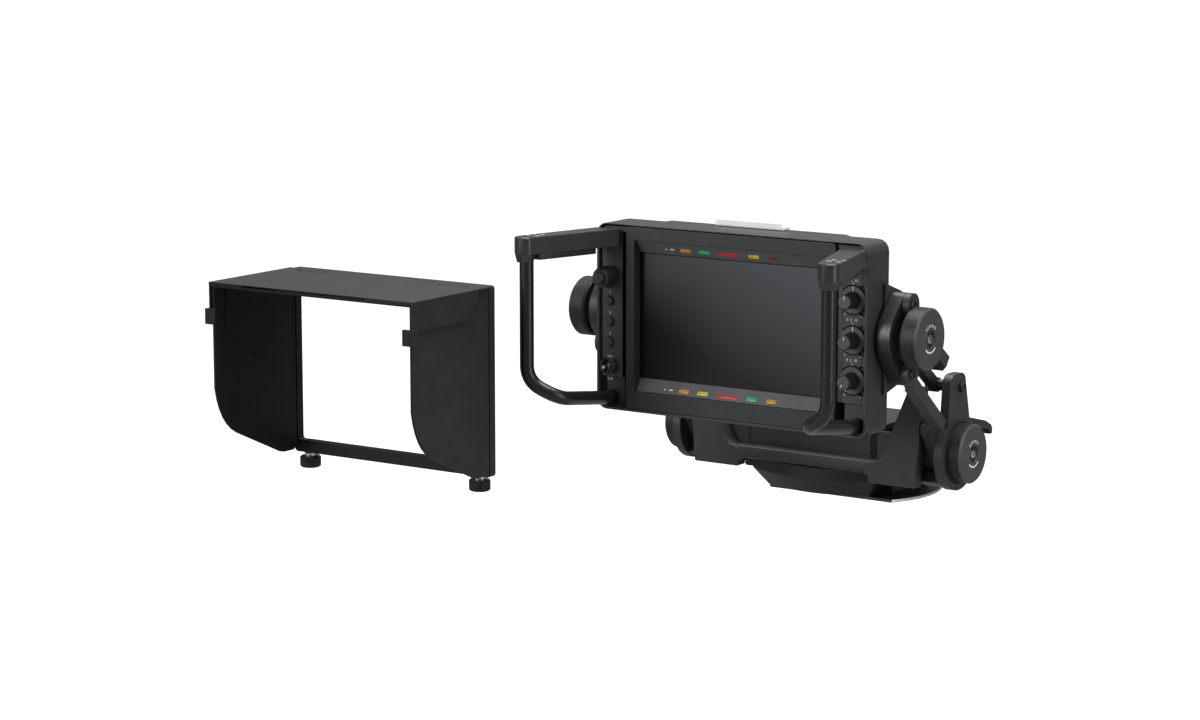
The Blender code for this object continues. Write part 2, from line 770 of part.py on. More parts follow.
lean_slope = (CHEEK_TOP_INNER_X - CHEEK_FOOT_INNER_X) / (CHEEK_TOP_Z - LEDGE_TOP_Z)
fillet_top = (CHEEK_FOOT_INNER_X + CHEEK_FILLET * lean_slope, LEDGE_TOP_Z + CHEEK_FILLET)
fillet_foot = (CHEEK_FOOT_INNER_X - CHEEK_FILLET, LEDGE_TOP_Z - TOUCH_GAP)
fillet = bend(fillet_top, (CHEEK_FOOT_INNER_X, LEDGE_TOP_Z), fillet_foot, SMALL_STEPS // 2)
arch_crown = (BLOCK_INNER_X - ARCH_FILLET, HOUSING_TOP_Z + TOUCH_GAP + SLIDE_GAP)
arch_foot = (BLOCK_INNER_X, HOUSING_TOP_Z - ARCH_FILLET)
arch = bend(arch_crown, (BLOCK_INNER_X, arch_crown[1]), arch_foot, SMALL_STEPS // 2)
for side, label in SIDES:
    cheek_outline = [
        (side * BLOCK_INNER_X, BLOCK_BOTTOM_Z),
        (side * BLOCK_OUTER_X, BLOCK_BOTTOM_Z),
        (side * CHEEK_WAIST_X, CHEEK_WAIST_Z),
        (side * CHEEK_MID_X, CHEEK_MID_Z),
        (side * CHEEK_MID_X, CHEEK_TOP_Z),
        (side * CHEEK_TOP_INNER_X, CHEEK_TOP_Z),
    ]
    cheek_outline += [(side * across, up) for across, up in fillet]
    cheek_outline += [(side * arch_crown[0], LEDGE_TOP_Z - LEDGE_THICK / 2)]
    cheek_outline += [(side * across, up) for across, up in arch]
    cheek = front_slab("cheek_" + label, [cheek_outline], BASE_FRONT_Y, CHEEK_BACK_Y, casting)
    soften(cheek, RUN_GAP * 3, 1)
    wall_outline = [
        (CHEEK_BACK_Y - SLIDE_GAP, BLOCK_BOTTOM_Z + RUN_GAP),
        (BASE_REAR_Y, BLOCK_BOTTOM_Z + RUN_GAP),
        (BASE_REAR_Y, DECK_END_Z + DECK_THICK * 0.8),
        (DECK_SLOPE_Y - DECK_THICK / 2, DECK_SLOPE_Z - DECK_THICK - TOUCH_GAP * 2),
        (DECK_BEND_Y - DECK_THICK / 2, deck_under - TOUCH_GAP),
        (DECK_MID_Y - TOUCH_GAP, deck_under - TOUCH_GAP),
        (DECK_MID_Y - TOUCH_GAP, WALL_SHOULDER_Z),
        (WALL_SHOULDER_Y, WALL_SHOULDER_Z),
        (WALL_TOP_Y, WALL_TOP_Z),
        (CHEEK_BACK_Y - SLIDE_GAP, CHEEK_TOP_Z - RUN_GAP * 3),
    ]
    wall = side_slab("wall_" + label, [wall_outline], CHEEK_FOOT_INNER_X, WALL_OUTER_X, side, casting)
    lean_outline = [
        (side * BLOCK_INNER_X, LEDGE_TOP_Z + TOUCH_GAP),
        (side * (CHEEK_FOOT_INNER_X + SLIDE_GAP), LEDGE_TOP_Z + TOUCH_GAP),
        (side * (CHEEK_TOP_INNER_X + SLIDE_GAP), CHEEK_TOP_Z + SLIDE_GAP),
        (side * BLOCK_INNER_X, CHEEK_TOP_Z + SLIDE_GAP),
    ]
    lean = front_slab("lean_" + label, [lean_outline], BASE_FRONT_Y - SLIDE_GAP, WALL_SHOULDER_Y, casting)
    pocket = side_box(
        "pocket_" + label,
        side,
        CHEEK_FOOT_INNER_X - SLIDE_GAP,
        WALL_OUTER_X - HUB_RADIUS / 2,
        CHEEK_BACK_Y + PANEL_THICK + SLIDE_GAP,
        BASE_REAR_Y - REAR_WALL_THICK / 2,
        floor_top - SLIDE_GAP * 2,
        CHEEK_TOP_Z,
        casting,
    )
    cut(wall, lean, pocket)
    join(base_casting, cheek, wall)
bearing = rod(
    "bearing_bore",
    TUBE_OUTER + RUN_GAP,
    -WALL_OUTER_X * 1.1,
    WALL_OUTER_X * 1.1,
    ROUND_STEPS,
    axis_frame("right", (0, LIFT_Y, LIFT_Z)),
    casting,
)
cut(base_casting, bearing, *base_holes)

# Rear deck: a bent slab trimmed to a stepped plan
deck_section = [
    (DECK_FRONT_Y, DECK_TOP_Z),
    (DECK_FRONT_Y, deck_under),
    (DECK_BEND_Y, deck_under),
    (DECK_SLOPE_Y - DECK_THICK / 3, DECK_SLOPE_Z - DECK_THICK),
    (DECK_END_Y - DECK_THICK, DECK_END_Z + DECK_THICK * 0.8),
    (DECK_END_Y - DECK_THICK * 0.8, DECK_END_Z),
    (DECK_END_Y - DECK_THICK * 0.1, DECK_END_Z),
    (DECK_END_Y, DECK_END_Z + DECK_THICK * 0.9),
    (DECK_END_Y - DECK_THICK * 0.5, DECK_END_Z + DECK_THICK * 1.6),
    (DECK_SLOPE_Y, DECK_SLOPE_Z),
    (DECK_BEND_Y, DECK_TOP_Z),
]
rear_deck = side_slab("rear_deck", [deck_section], -DECK_REAR_HALF, DECK_REAR_HALF, RIGHT, casting)
plan = []
for side in (RIGHT, LEFT):
    half = [
        (side * DECK_FRONT_HALF, DECK_FRONT_Y - DECK_THICK),
        (side * DECK_FRONT_HALF, DECK_MID_Y),
        (side * DECK_MID_HALF, DECK_MID_Y),
        (side * DECK_MID_HALF, DECK_REAR_Y),
        (side * (DECK_REAR_HALF + DECK_THICK), DECK_REAR_Y),
        (side * (DECK_REAR_HALF + DECK_THICK), DECK_END_Y + DECK_THICK),
    ]
    plan += half if side == RIGHT else half[::-1]
deck_trim = slab("deck_trim", [plan], DECK_END_Z / 2, DECK_TOP_Z * 1.5, frame_for("Z"), casting)
boolean(rear_deck, deck_trim, "INTERSECT")

# Uprights with their curved feet, the screws that hold them, and the link pivots
for side, label in SIDES:
    rise = math.sqrt(UPRIGHT_DISC**2 - (UPRIGHT_FRONT_Y - LIFT_Y) ** 2)
    hip = math.sqrt(UPRIGHT_DISC**2 - (UPRIGHT_HIP_Y - LIFT_Y) ** 2)
    front_angle = math.atan2(rise, UPRIGHT_FRONT_Y - LIFT_Y)
    hip_angle = math.atan2(hip, UPRIGHT_HIP_Y - LIFT_Y)
    crown = PIVOT_HEAD * 2
    outline = arc((LIFT_Y, LIFT_Z), UPRIGHT_DISC, front_angle - math.tau, hip_angle, FINE_STEPS)
    outline += [(UPRIGHT_NECK_Y, UPRIGHT_NECK_Z)]
    outline += arc(
        (UPRIGHT_NECK_Y - crown, UPRIGHT_TOP_Z - crown), crown, math.pi / 6, math.pi / 2, 3
    )
    outline += arc(
        (UPRIGHT_HEAD_Y + crown, UPRIGHT_TOP_Z - crown), crown, math.pi / 2, math.pi, 4
    )
    holes = [
        ring_of((LIFT_Y, LIFT_Z), SHAFT_RADIUS + RUN_GAP, ROUND_STEPS),
        ring_of((LIFT_Y, LINK_Z), PIVOT_SHANK + TOUCH_GAP, SMALL_STEPS),
    ]
    upright = side_slab(
        "upright_" + label, [outline] + holes, UPRIGHT_IN_X, UPRIGHT_OUT_X, side, casting
    )
    axle = axis_frame(label, (0, LIFT_Y, LIFT_Z))
    spot = rod(
        "spot_" + label,
        UPRIGHT_SPOT_RADIUS,
        UPRIGHT_SPOT_X,
        UPRIGHT_OUT_X + SLIDE_GAP,
        FINE_STEPS,
        axle,
        casting,
    )
    cut(upright, spot)
    foot_outline = arc((LIFT_Y, LIFT_Z), FOOT_OUTER, FOOT_FROM, FOOT_TO, ROUND_STEPS)
    foot_outline += arc((LIFT_Y, LIFT_Z), FOOT_INNER, FOOT_TO, FOOT_FROM, ROUND_STEPS)
    foot = side_slab(
        "foot_" + label,
        [foot_outline],
        WALL_OUTER_X + TOUCH_GAP,
        UPRIGHT_IN_X + SLIDE_GAP,
        side,
        casting,
    )
    join(upright, foot)
    mid = (FOOT_INNER + FOOT_OUTER) / 2
    for number in range(3):
        angle = FOOT_FROM + (FOOT_TO - FOOT_FROM) * (number + 0.5) / 3
        spot_y = LIFT_Y + mid * math.cos(angle)
        spot_z = LIFT_Z + mid * math.sin(angle)
        place = axis_frame(label, (0, spot_y, spot_z))
        inner = WALL_OUTER_X - DOWEL_LENGTH
        dowel = rod(
            "dowel", DOWEL_RADIUS, inner, UPRIGHT_IN_X - SLIDE_GAP, SMALL_STEPS, place, casting
        )
        bore = rod(
            "dowel_bore",
            DOWEL_RADIUS + TOUCH_GAP,
            inner - SLIDE_GAP,
            WALL_OUTER_X + SLIDE_GAP,
            SMALL_STEPS,
            place,
            casting,
        )
        join(upright, dowel)
        cut(base_casting, bore)
    pin_place = axis_frame(label, (0, LIFT_Y, LINK_Z))
    pin_profile = [
        (0, UPRIGHT_OUT_X + TOUCH_GAP + PIVOT_HEAD_HEIGHT),
        (PIVOT_HEAD, UPRIGHT_OUT_X + TOUCH_GAP + PIVOT_HEAD_HEIGHT),
        (PIVOT_HEAD, UPRIGHT_OUT_X + TOUCH_GAP),
        (PIVOT_SHANK, UPRIGHT_OUT_X + TOUCH_GAP),
        (PIVOT_SHANK, UPRIGHT_IN_X - TOUCH_GAP),
        (PIVOT_SHOULDER, UPRIGHT_IN_X - TOUCH_GAP),
        (PIVOT_SHOULDER, LINK_BAR_OUT_X + TOUCH_GAP),
        (PIVOT_SHANK, LINK_BAR_OUT_X + TOUCH_GAP),
        (PIVOT_SHANK, LINK_BAR_IN_X - TOUCH_GAP),
        (PIVOT_HEAD, LINK_BAR_IN_X - TOUCH_GAP),
        (PIVOT_HEAD, LINK_BAR_IN_X - TOUCH_GAP - PIVOT_HEAD_HEIGHT),
        (0, LINK_BAR_IN_X - TOUCH_GAP - PIVOT_HEAD_HEIGHT),
    ]
    turned("link_pivot_" + label, pin_profile, False, SMALL_STEPS, pin_place, dark_steel)

def screwed_end(tip):
    """Profile from a knob screw's head down to the end of the shaft that it is in."""
    head_low = tip + SLIDE_GAP + KNOB_WEB + TOUCH_GAP
    return [
        (0, head_low + KNOB_SCREW_HEIGHT),
        (KNOB_SCREW_HEAD, head_low + KNOB_SCREW_HEIGHT),
        (KNOB_SCREW_HEAD, head_low),
        (KNOB_SCREW_SHANK, head_low),
        (KNOB_SCREW_SHANK, tip),
    ]


# Lift shaft, with the knob screw in each end
upper_end = screwed_end(SHAFT_END_X) + [(SHAFT_RADIUS, SHAFT_END_X)]
shaft_profile = upper_end + [(radius, -height) for radius, height in upper_end[::-1]]
lift_frame = axis_frame("right", (0, LIFT_Y, LIFT_Z))
turned("lift_shaft", shaft_profile, False, ROUND_STEPS, lift_frame, steel)

# Cross tube, which joins both arm hubs round the shaft
tube_profile = [
    (TUBE_INNER, TUBE_END_X),
    (TUBE_OUTER, TUBE_END_X),
    (TUBE_OUTER, -TUBE_END_X),
    (TUBE_INNER, -TUBE_END_X),
]
turned("cross_tube", tube_profile, True, ROUND_STEPS, lift_frame, dark_steel)


def rail_frame(origin_z, side):
    """Along a rail from its fixed pivot, then away from the middle plane."""
    along = Vector((0, DOWN, RISE))
    out = Vector((side, 0, 0))
    thick = along.cross(out) * side
    columns = Matrix((along, out, thick)).transposed().to_4x4()
    return Matrix.Translation((0, LIFT_Y, origin_z)) @ columns


# Front arms: hub, a plate beside the cheek, a crank, a rail with an inner flange, and a lobe
for side, label in SIDES:
    rail_outline = [
        (0, ARM_PLATE_X),
        (ARM_BEND_FROM + RUN_GAP * 4, ARM_PLATE_X),
        (ARM_BEND_TO + RUN_GAP * 4, ARM_MID_IN_X),
        (RAIL_LENGTH - LOBE_RADIUS * 2.1, ARM_END_IN_X),
        (RAIL_LENGTH - LOBE_RADIUS * 1.3, LOBE_IN_X),
        (RAIL_LENGTH, LOBE_IN_X),
        (RAIL_LENGTH, LOBE_OUT_X - TOUCH_GAP),
        (RAIL_LENGTH - LOBE_RADIUS, LOBE_OUT_X - TOUCH_GAP),
        (RAIL_LENGTH - LOBE_RADIUS * 1.3, ARM_END_OUT_X),
        (ARM_BEND_TO, ARM_MID_OUT_X),
        (ARM_BEND_FROM, HUB_OUT_X - TOUCH_GAP),
        (0, HUB_OUT_X - TOUCH_GAP),
    ]
    arm = slab(
        "arm_" + label,
        [rail_outline],
        -ARM_WIDTH / 2,
        ARM_WIDTH / 2,
        rail_frame(LIFT_Z, side),
        casting,
    )
    pivot(arm, (0, LIFT_Y, LIFT_Z))
    axle = axis_frame(label, (0, LIFT_Y, LIFT_Z))
    reach = (
        LIFT_Y + ARM_BEND_FROM * DOWN,
        LIFT_Z + ARM_BEND_FROM * RISE,
    )
    web_outline = hull(
        ring_of((LIFT_Y, LIFT_Z), HUB_RADIUS, FINE_STEPS)
        + ring_of(reach, ARM_WIDTH / 2 - SLIDE_GAP, SMALL_STEPS)
    )
    web = side_slab("web_" + label, [web_outline], ARM_PLATE_X + RUN_GAP, HUB_OUT_X, side, casting)
    hub = rod(
        "hub_" + label, HUB_RADIUS - SLIDE_GAP, HUB_IN_X, ARM_PLATE_X * 1.02, FINE_STEPS, axle, casting
    )
    tip = axis_frame(label, (0, ARM_END_Y, ARM_END_Z))
    lobe = rod(
        "lobe_" + label, LOBE_RADIUS, LOBE_IN_X - TOUCH_GAP / 3, LOBE_OUT_X, ROUND_STEPS, tip, casting
    )
    tube_bore = rod(
        "tube_bore_" + label,
        TUBE_OUTER + TOUCH_GAP,
        HUB_IN_X - SLIDE_GAP,
        HUB_OUT_X + SLIDE_GAP,
        ROUND_STEPS,
        axle,
        casting,
    )
    lobe_bore = rod(
        "lobe_bore_" + label,
        LOBE_SCREW_SHANK + TOUCH_GAP,
        LOBE_IN_X - SLIDE_GAP,
        LOBE_OUT_X + SLIDE_GAP,
        SMALL_STEPS,
        tip,
        casting,
    )
    flange_outline = [
        (ARM_FLANGE_FROM, ARM_FLANGE_IN_X),
        (ARM_FLANGE_TO, ARM_FLANGE_IN_X),
        (ARM_FLANGE_TO, ARM_FLANGE_OUT_X),
        (ARM_FLANGE_FROM, ARM_FLANGE_OUT_X),
    ]
    arm_flange = slab(
        "arm_flange_" + label,
        [flange_outline],
        -ARM_FLANGE_FOOT,
        ARM_FLANGE_RISE,
        rail_frame(LIFT_Z, side),
        casting,
    )
    join(arm, web, hub, lobe, arm_flange)
    cut(arm, tube_bore, lobe_bore)

# Rear links: an outer bar, a step inwards, and an inner bar that passes inside the upright
for side, label in SIDES:
    place = rail_frame(LINK_Z, side)
    outer_outline = [
        (LINK_STEP_FROM, LINK_IN_X),
        (LINK_BEND_FROM, LINK_IN_X),
        (LINK_BEND_TO, LOBE_IN_X),
        (RAIL_LENGTH, LOBE_IN_X),
        (RAIL_LENGTH, LOBE_OUT_X - TOUCH_GAP),
        (RAIL_LENGTH - LOBE_RADIUS, LOBE_OUT_X - TOUCH_GAP),
        (RAIL_LENGTH - LOBE_RADIUS * 1.3, LINK_END_X),
        (LINK_BEND_TO + LINK_STEP_FROM / 9, LINK_END_X),
        (LINK_BEND_FROM, LINK_OUT_X),
        (LINK_STEP_FROM + LINK_WIDTH * 0.9, LINK_OUT_X),
    ]
    link = slab(
        "link_" + label, [outer_outline], -LINK_WIDTH / 2, LINK_WIDTH / 2, place, casting
    )
    pivot(link, (0, LIFT_Y, LINK_Z))
    soften(link, LINK_WIDTH / 10, 1)
    inner_outline = [
        (0, LINK_BAR_IN_X),
        (LINK_STEP_TO, LINK_BAR_IN_X),
        (LINK_STEP_TO, LINK_IN_X + SLIDE_GAP),
        (LINK_STEP_FROM + SLIDE_GAP, LINK_IN_X + SLIDE_GAP),
        (LINK_STEP_FROM + SLIDE_GAP, LINK_BAR_OUT_X),
        (0, LINK_BAR_OUT_X),
    ]
    bar = slab(
        "bar_" + label,
        [inner_outline],
        -LINK_BAR_WIDTH / 2,
        LINK_BAR_WIDTH / 2,
        place,
        casting,
    )
    axle = axis_frame(label, (0, LIFT_Y, LINK_Z))
    eye = rod(
        "eye_" + label, LINK_EYE, LINK_BAR_IN_X - TOUCH_GAP / 3, LINK_BAR_OUT_X + TOUCH_GAP / 3,
        ROUND_STEPS, axle, casting
    )
    tip = axis_frame(label, (0, ARM_END_Y, ARM_END_Z + PIVOT_RISE))
    lobe = rod(
        "link_lobe_" + label, LOBE_RADIUS, LOBE_IN_X - TOUCH_GAP / 3, LOBE_OUT_X, ROUND_STEPS, tip, casting
    )
    eye_bore = rod(
        "eye_bore_" + label,
        PIVOT_SHANK + TOUCH_GAP,
        LINK_BAR_IN_X - SLIDE_GAP,
        LINK_BAR_OUT_X + SLIDE_GAP,
        SMALL_STEPS,
        axle,
        casting,
    )
    open_bore = rod(
        "open_bore_" + label,
        LOBE_SCREW_SHANK + SLIDE_GAP,
        LOBE_IN_X - SLIDE_GAP,
        LOBE_OUT_X + SLIDE_GAP,
        SMALL_STEPS,
        tip,
        casting,
    )
    join(link, bar, eye, lobe)
    cut(link, eye_bore, open_bore)

# Carriers: egg-shaped friction housings, with the screws of both moving pivots
for side, label in SIDES:
    lobes = [(ARM_END_Y, ARM_END_Z), (ARM_END_Y, ARM_END_Z + PIVOT_RISE)]
    egg = hull(
        ring_of((TILT_Y, TILT_Z), CARRIER_RADIUS, FINE_STEPS)
        + ring_of(lobes[0], LOBE_RADIUS, ROUND_STEPS)
        + ring_of(lobes[1], LOBE_RADIUS, ROUND_STEPS)
    )
    holes = [
        ring_of((TILT_Y, TILT_Z), TRUNNION_RADIUS + RUN_GAP, ROUND_STEPS),
    ]
    carrier = side_slab(
        "carrier_" + label, [egg] + holes, CARRIER_IN_X, CARRIER_OUT_X, side, casting
    )
    pivot(carrier, (0, ARM_END_Y, ARM_END_Z))
    for lobe_y, lobe_z in lobes:
        place = axis_frame(label, (0, lobe_y, lobe_z))
        profile = [
            (0, LOBE_OUT_X + TOUCH_GAP + LOBE_SCREW_HEIGHT),
            (LOBE_SCREW_HEAD, LOBE_OUT_X + TOUCH_GAP + LOBE_SCREW_HEIGHT),
            (LOBE_SCREW_HEAD, LOBE_OUT_X + TOUCH_GAP),
            (LOBE_SCREW_SHANK, LOBE_OUT_X + TOUCH_GAP),
            (LOBE_SCREW_SHANK, CARRIER_OUT_X - SLIDE_GAP),
            (0, CARRIER_OUT_X - SLIDE_GAP),
        ]
        join(carrier, turned("lobe_screw", profile, False, SMALL_STEPS, place, dark_steel))

# Lock knobs; the slotted screws in the shafts keep them on
knob_back = {"lower": LOWER_KNOB_X, "upper": UPPER_KNOB_X}
knob_bore = {"lower": SHAFT_RADIUS + RUN_GAP, "upper": TRUNNION_NECK + RUN_GAP}
knob_centre = {"lower": (0, LIFT_Y, LIFT_Z), "upper": (0, TILT_Y, TILT_Z)}
shaft_end = {"lower": SHAFT_END_X, "upper": TRUNNION_END_X}
for level in ("lower", "upper"):
    back = knob_back[level]
    face = back + KNOB_DEPTH
    web_low = shaft_end[level] + SLIDE_GAP
    web_top = web_low + KNOB_WEB
    bore = knob_bore[level]
    profile = [
        (KNOB_WELL, face - KNOB_DISH),
        (KNOB_DISH_RADIUS, face - KNOB_DISH),
        (KNOB_DISH_RADIUS + KNOB_DISH, face),
        (KNOB_RADIUS - KNOB_CHAMFER, face),
        (KNOB_RADIUS, face - KNOB_CHAMFER),
        (KNOB_RADIUS, back + KNOB_CHAMFER),
        (KNOB_RADIUS - KNOB_CHAMFER, back),
        (bore, back),
        (bore, web_low),
        (KNOB_SCREW_SHANK + TOUCH_GAP, web_low),
        (KNOB_SCREW_SHANK + TOUCH_GAP, web_top),
        (KNOB_WELL, web_top),
    ]
    for side, label in SIDES:
        place = axis_frame(label, knob_centre[level])
        turned(level + "_knob_" + label, profile, True, FINE_STEPS, place, knob_look)

# Trunnions: flange plates on the case's sides with the stubs that turn in the carriers
for side, label in SIDES:
    flange_outline = [
        (FLANGE_FRONT_Y, FLANGE_BOTTOM_Z),
        (FLANGE_REAR_Y, FLANGE_BOTTOM_Z + FLANGE_SLANT),
        (FLANGE_REAR_Y, FLANGE_TOP_Z - FLANGE_SLANT * 1.5),
        (FLANGE_FRONT_Y, FLANGE_TOP_Z),
    ]
    trunnion = side_slab(
        "trunnion_" + label, [flange_outline], FLANGE_IN_X, FLANGE_OUT_X, side, casting
    )
    pivot(trunnion, (0, TILT_Y, TILT_Z))
    axle = axis_frame(label, (0, TILT_Y, TILT_Z))
    stub_profile = screwed_end(TRUNNION_END_X) + [
        (TRUNNION_NECK, TRUNNION_END_X),
        (TRUNNION_NECK, UPPER_KNOB_X - RUN_GAP),
        (SLEEVE_RADIUS, UPPER_KNOB_X - RUN_GAP),
        (SLEEVE_RADIUS, TRUNNION_STEP_X),
        (TRUNNION_RADIUS, TRUNNION_STEP_X),
        (TRUNNION_RADIUS, FLANGE_IN_X + SLIDE_GAP),
        (0, FLANGE_IN_X + SLIDE_GAP),
    ]
    stub = turned("stub_" + label, stub_profile, False, ROUND_STEPS, axle, dark_steel)
    join(trunnion, stub)

# Front case: a rim round the display, with a pocket floor at each lower corner
outer_rim = rounded_box(-CASE_HALF, CASE_HALF, CASE_BOTTOM_Z, CASE_TOP_Z, CASE_CORNER, 4)
inner_rim = rounded_box(
    CASE_SIDE - CASE_HALF,
    CASE_HALF - CASE_SIDE,
    CASE_BOTTOM_Z + CASE_RIM,
    CASE_TOP_Z - CASE_RIM / 2,
    CASE_CORNER - CASE_SIDE,
    4,
)
case_front = front_slab(
    "case_front", [outer_rim, inner_rim], CASE_FRONT_Y, CASE_SEAM_Y - TOUCH_GAP, casting
)
for side, label in SIDES:
    floor = side_box(
        "pocket_floor_" + label,
        side,
        STRIP_IN_X + TOUCH_GAP,
        CASE_HALF - CASE_SIDE / 2,
        POCKET_FLOOR_Y,
        POCKET_FLOOR_Y + STRIP_THICK,
        CASE_BOTTOM_Z + CASE_RIM / 2,
        STRIP_BOTTOM_Z - TOUCH_GAP,
        casting,
    )
    entry = rod(
        "entry_" + label,
        TUBE_RADIUS + TOUCH_GAP,
        -POCKET_FLOOR_Y - STRIP_THICK - SLIDE_GAP,
        -POCKET_FLOOR_Y + SLIDE_GAP,
        ROUND_STEPS,
        axis_frame("front", (side * TUBE_ENTRY_X, 0, TUBE_ENTRY_Z)),
        casting,
    )
    cut(floor, entry)
    join(case_front, floor)
pivot(case_front, (0, TILT_Y, TILT_Z))

# Rear case: an open shell with a flat hump behind the screen
case_rear = front_slab("case_rear", [outer_rim], CASE_SEAM_Y, CASE_REAR_Y, casting)
soften(case_rear, CASE_SHELL, 1)
hump_outline = rounded_box(
    -HUMP_HALF, HUMP_HALF, HUMP_BOTTOM_Z, CASE_TOP_Z - TOUCH_GAP, CASE_CORNER, 3
)
hump = front_slab("hump", [hump_outline], CASE_REAR_Y - CASE_SHELL * 1.2, HUMP_REAR_Y, casting)
soften(hump, CASE_SHELL, 1)
rear_hollow = front_slab(
    "rear_hollow",
    [
        rounded_box(
            CASE_SIDE - CASE_HALF,
            CASE_HALF - CASE_SIDE,
            CASE_BOTTOM_Z + CASE_SIDE,
            CASE_TOP_Z - CASE_SIDE,
            CASE_CORNER - CASE_SIDE,
            3,
        )
    ],
    CASE_SEAM_Y - CASE_SHELL,
    CASE_REAR_Y - CASE_SHELL,
    casting,
)
hump_hollow = front_slab(
    "hump_hollow",
    [
        rounded_box(
            CASE_SHELL - HUMP_HALF,
            HUMP_HALF - CASE_SHELL,
            HUMP_BOTTOM_Z + CASE_SHELL,
            CASE_TOP_Z - CASE_SIDE * 1.3,
            CASE_CORNER - CASE_SHELL,
            3,
        )
    ],
    CASE_REAR_Y - CASE_SHELL * 1.5,
    HUMP_REAR_Y - CASE_SHELL,
    casting,
)
join(case_rear, hump)
cut(case_rear, rear_hollow, hump_hollow)
socket_frame = axis_frame("front", (SOCKET_X, 0, SOCKET_Z))
cut(
    case_rear,
    rod(
        "socket_bore",
        SOCKET_BORE + TOUCH_GAP,
        -HUMP_REAR_Y - SOCKET_LENGTH / 2,
        CASE_SHELL * 2 - HUMP_REAR_Y,
        ROUND_STEPS,
        socket_frame,
        casting,
    ),
)
pivot(case_rear, (0, TILT_Y, TILT_Z))
socket_profile = [
    (SOCKET_BORE - CASE_SHELL / 2, CASE_SHELL - HUMP_REAR_Y + TOUCH_GAP),
    (SOCKET_BORE, CASE_SHELL - HUMP_REAR_Y + TOUCH_GAP),
    (SOCKET_BORE, -HUMP_REAR_Y - TOUCH_GAP),
    (SOCKET_RADIUS, -HUMP_REAR_Y - TOUCH_GAP),
    (SOCKET_RADIUS, -HUMP_REAR_Y - SOCKET_LENGTH),
    (SOCKET_BORE - CASE_SHELL / 2, -HUMP_REAR_Y - SOCKET_LENGTH),
]
turned("rear_socket", socket_profile, True, ROUND_STEPS, socket_frame, dark_steel)

# Bezel, window, liquid-crystal panel, inner frame and circuit board
bezel_outline = rounded_box(-BEZEL_HALF, BEZEL_HALF, BEZEL_BOTTOM_Z, BEZEL_TOP_Z, CASE_RIM, 2)
bezel_open = rounded_box(
    -BEZEL_OPEN_HALF, BEZEL_OPEN_HALF, BEZEL_OPEN_BOTTOM_Z, BEZEL_OPEN_TOP_Z, RUN_GAP, 1
)
bezel = front_slab("bezel", [bezel_outline, bezel_open], CASE_FRONT_Y, BEZEL_BACK_Y, black)
screen_window = box(
    "screen_window",
    (TOUCH_GAP - BEZEL_OPEN_HALF, WINDOW_FRONT_Y, WINDOW_BOTTOM_Z),
    (BEZEL_OPEN_HALF - TOUCH_GAP, WINDOW_FRONT_Y + WINDOW_THICK, WINDOW_TOP_Z),
    glass_look,
)
lcd_front = WINDOW_FRONT_Y + WINDOW_THICK + TOUCH_GAP
box(
    "display_panel",
    (-PANEL_HALF, lcd_front, PANEL_BOTTOM_Z),
    (PANEL_HALF, lcd_front + LCD_THICK, PANEL_TOP_Z),
    metal_plate,
)
frame_front = BEZEL_BACK_Y + TOUCH_GAP
frame_outline = rounded_box(
    -FRAME_HALF,
    FRAME_HALF,
    CASE_BOTTOM_Z + FRAME_MARGIN,
    CASE_TOP_Z - FRAME_MARGIN,
    FRAME_MARGIN,
    2,
)
window_in_frame = rounded_box(
    -PANEL_HALF / 2,
    PANEL_HALF / 2,
    PANEL_BOTTOM_Z + FRAME_MARGIN * 4,
    PANEL_TOP_Z - FRAME_MARGIN * 4,
    CASE_RIM,
    1,
)
front_slab(
    "inner_frame",
    [frame_outline, window_in_frame],
    frame_front,
    frame_front + FRAME_THICK,
    metal_plate,
)
board_front = frame_front + FRAME_THICK + TOUCH_GAP
circuit_board = box(
    "circuit_board",
    (-BOARD_HALF, board_front, PANEL_BOTTOM_Z),
    (BOARD_HALF, board_front + BOARD_THICK, PANEL_TOP_Z),
    board_look,
)
for row in range(2):
    for column in range(3):
        left = (column - 1) * CHIP_SIZE * 3 - CHIP_SIZE / 2
        bottom = PANEL_BOTTOM_Z + CHIP_SIZE * (1 + row * 3)
        chip = box(
            "chip",
            (left, board_front + BOARD_THICK / 2, bottom),
            (left + CHIP_SIZE, board_front + BOARD_THICK + CHIP_HEIGHT, bottom + CHIP_SIZE),
            board_look,
        )
        join(circuit_board, chip)

# Tally strips: wedges that slope from the bezel in to the screen, above and below it
for level, inner_z, outer_z in (
    ("upper", TALLY_INNER_TOP_Z, BEZEL_OPEN_TOP_Z - TOUCH_GAP),
    ("lower", TALLY_INNER_BOTTOM_Z, BEZEL_OPEN_BOTTOM_Z + TOUCH_GAP),
):
    deep = WINDOW_FRONT_Y - TOUCH_GAP
    wedge = [(deep, inner_z), (TALLY_LIP_Y, outer_z), (deep, outer_z)]
    side_slab(
        "tally_strip_" + level,
        [wedge],
        SLIDE_GAP - BEZEL_OPEN_HALF,
        BEZEL_OPEN_HALF - SLIDE_GAP,
        RIGHT,
        black,
    )

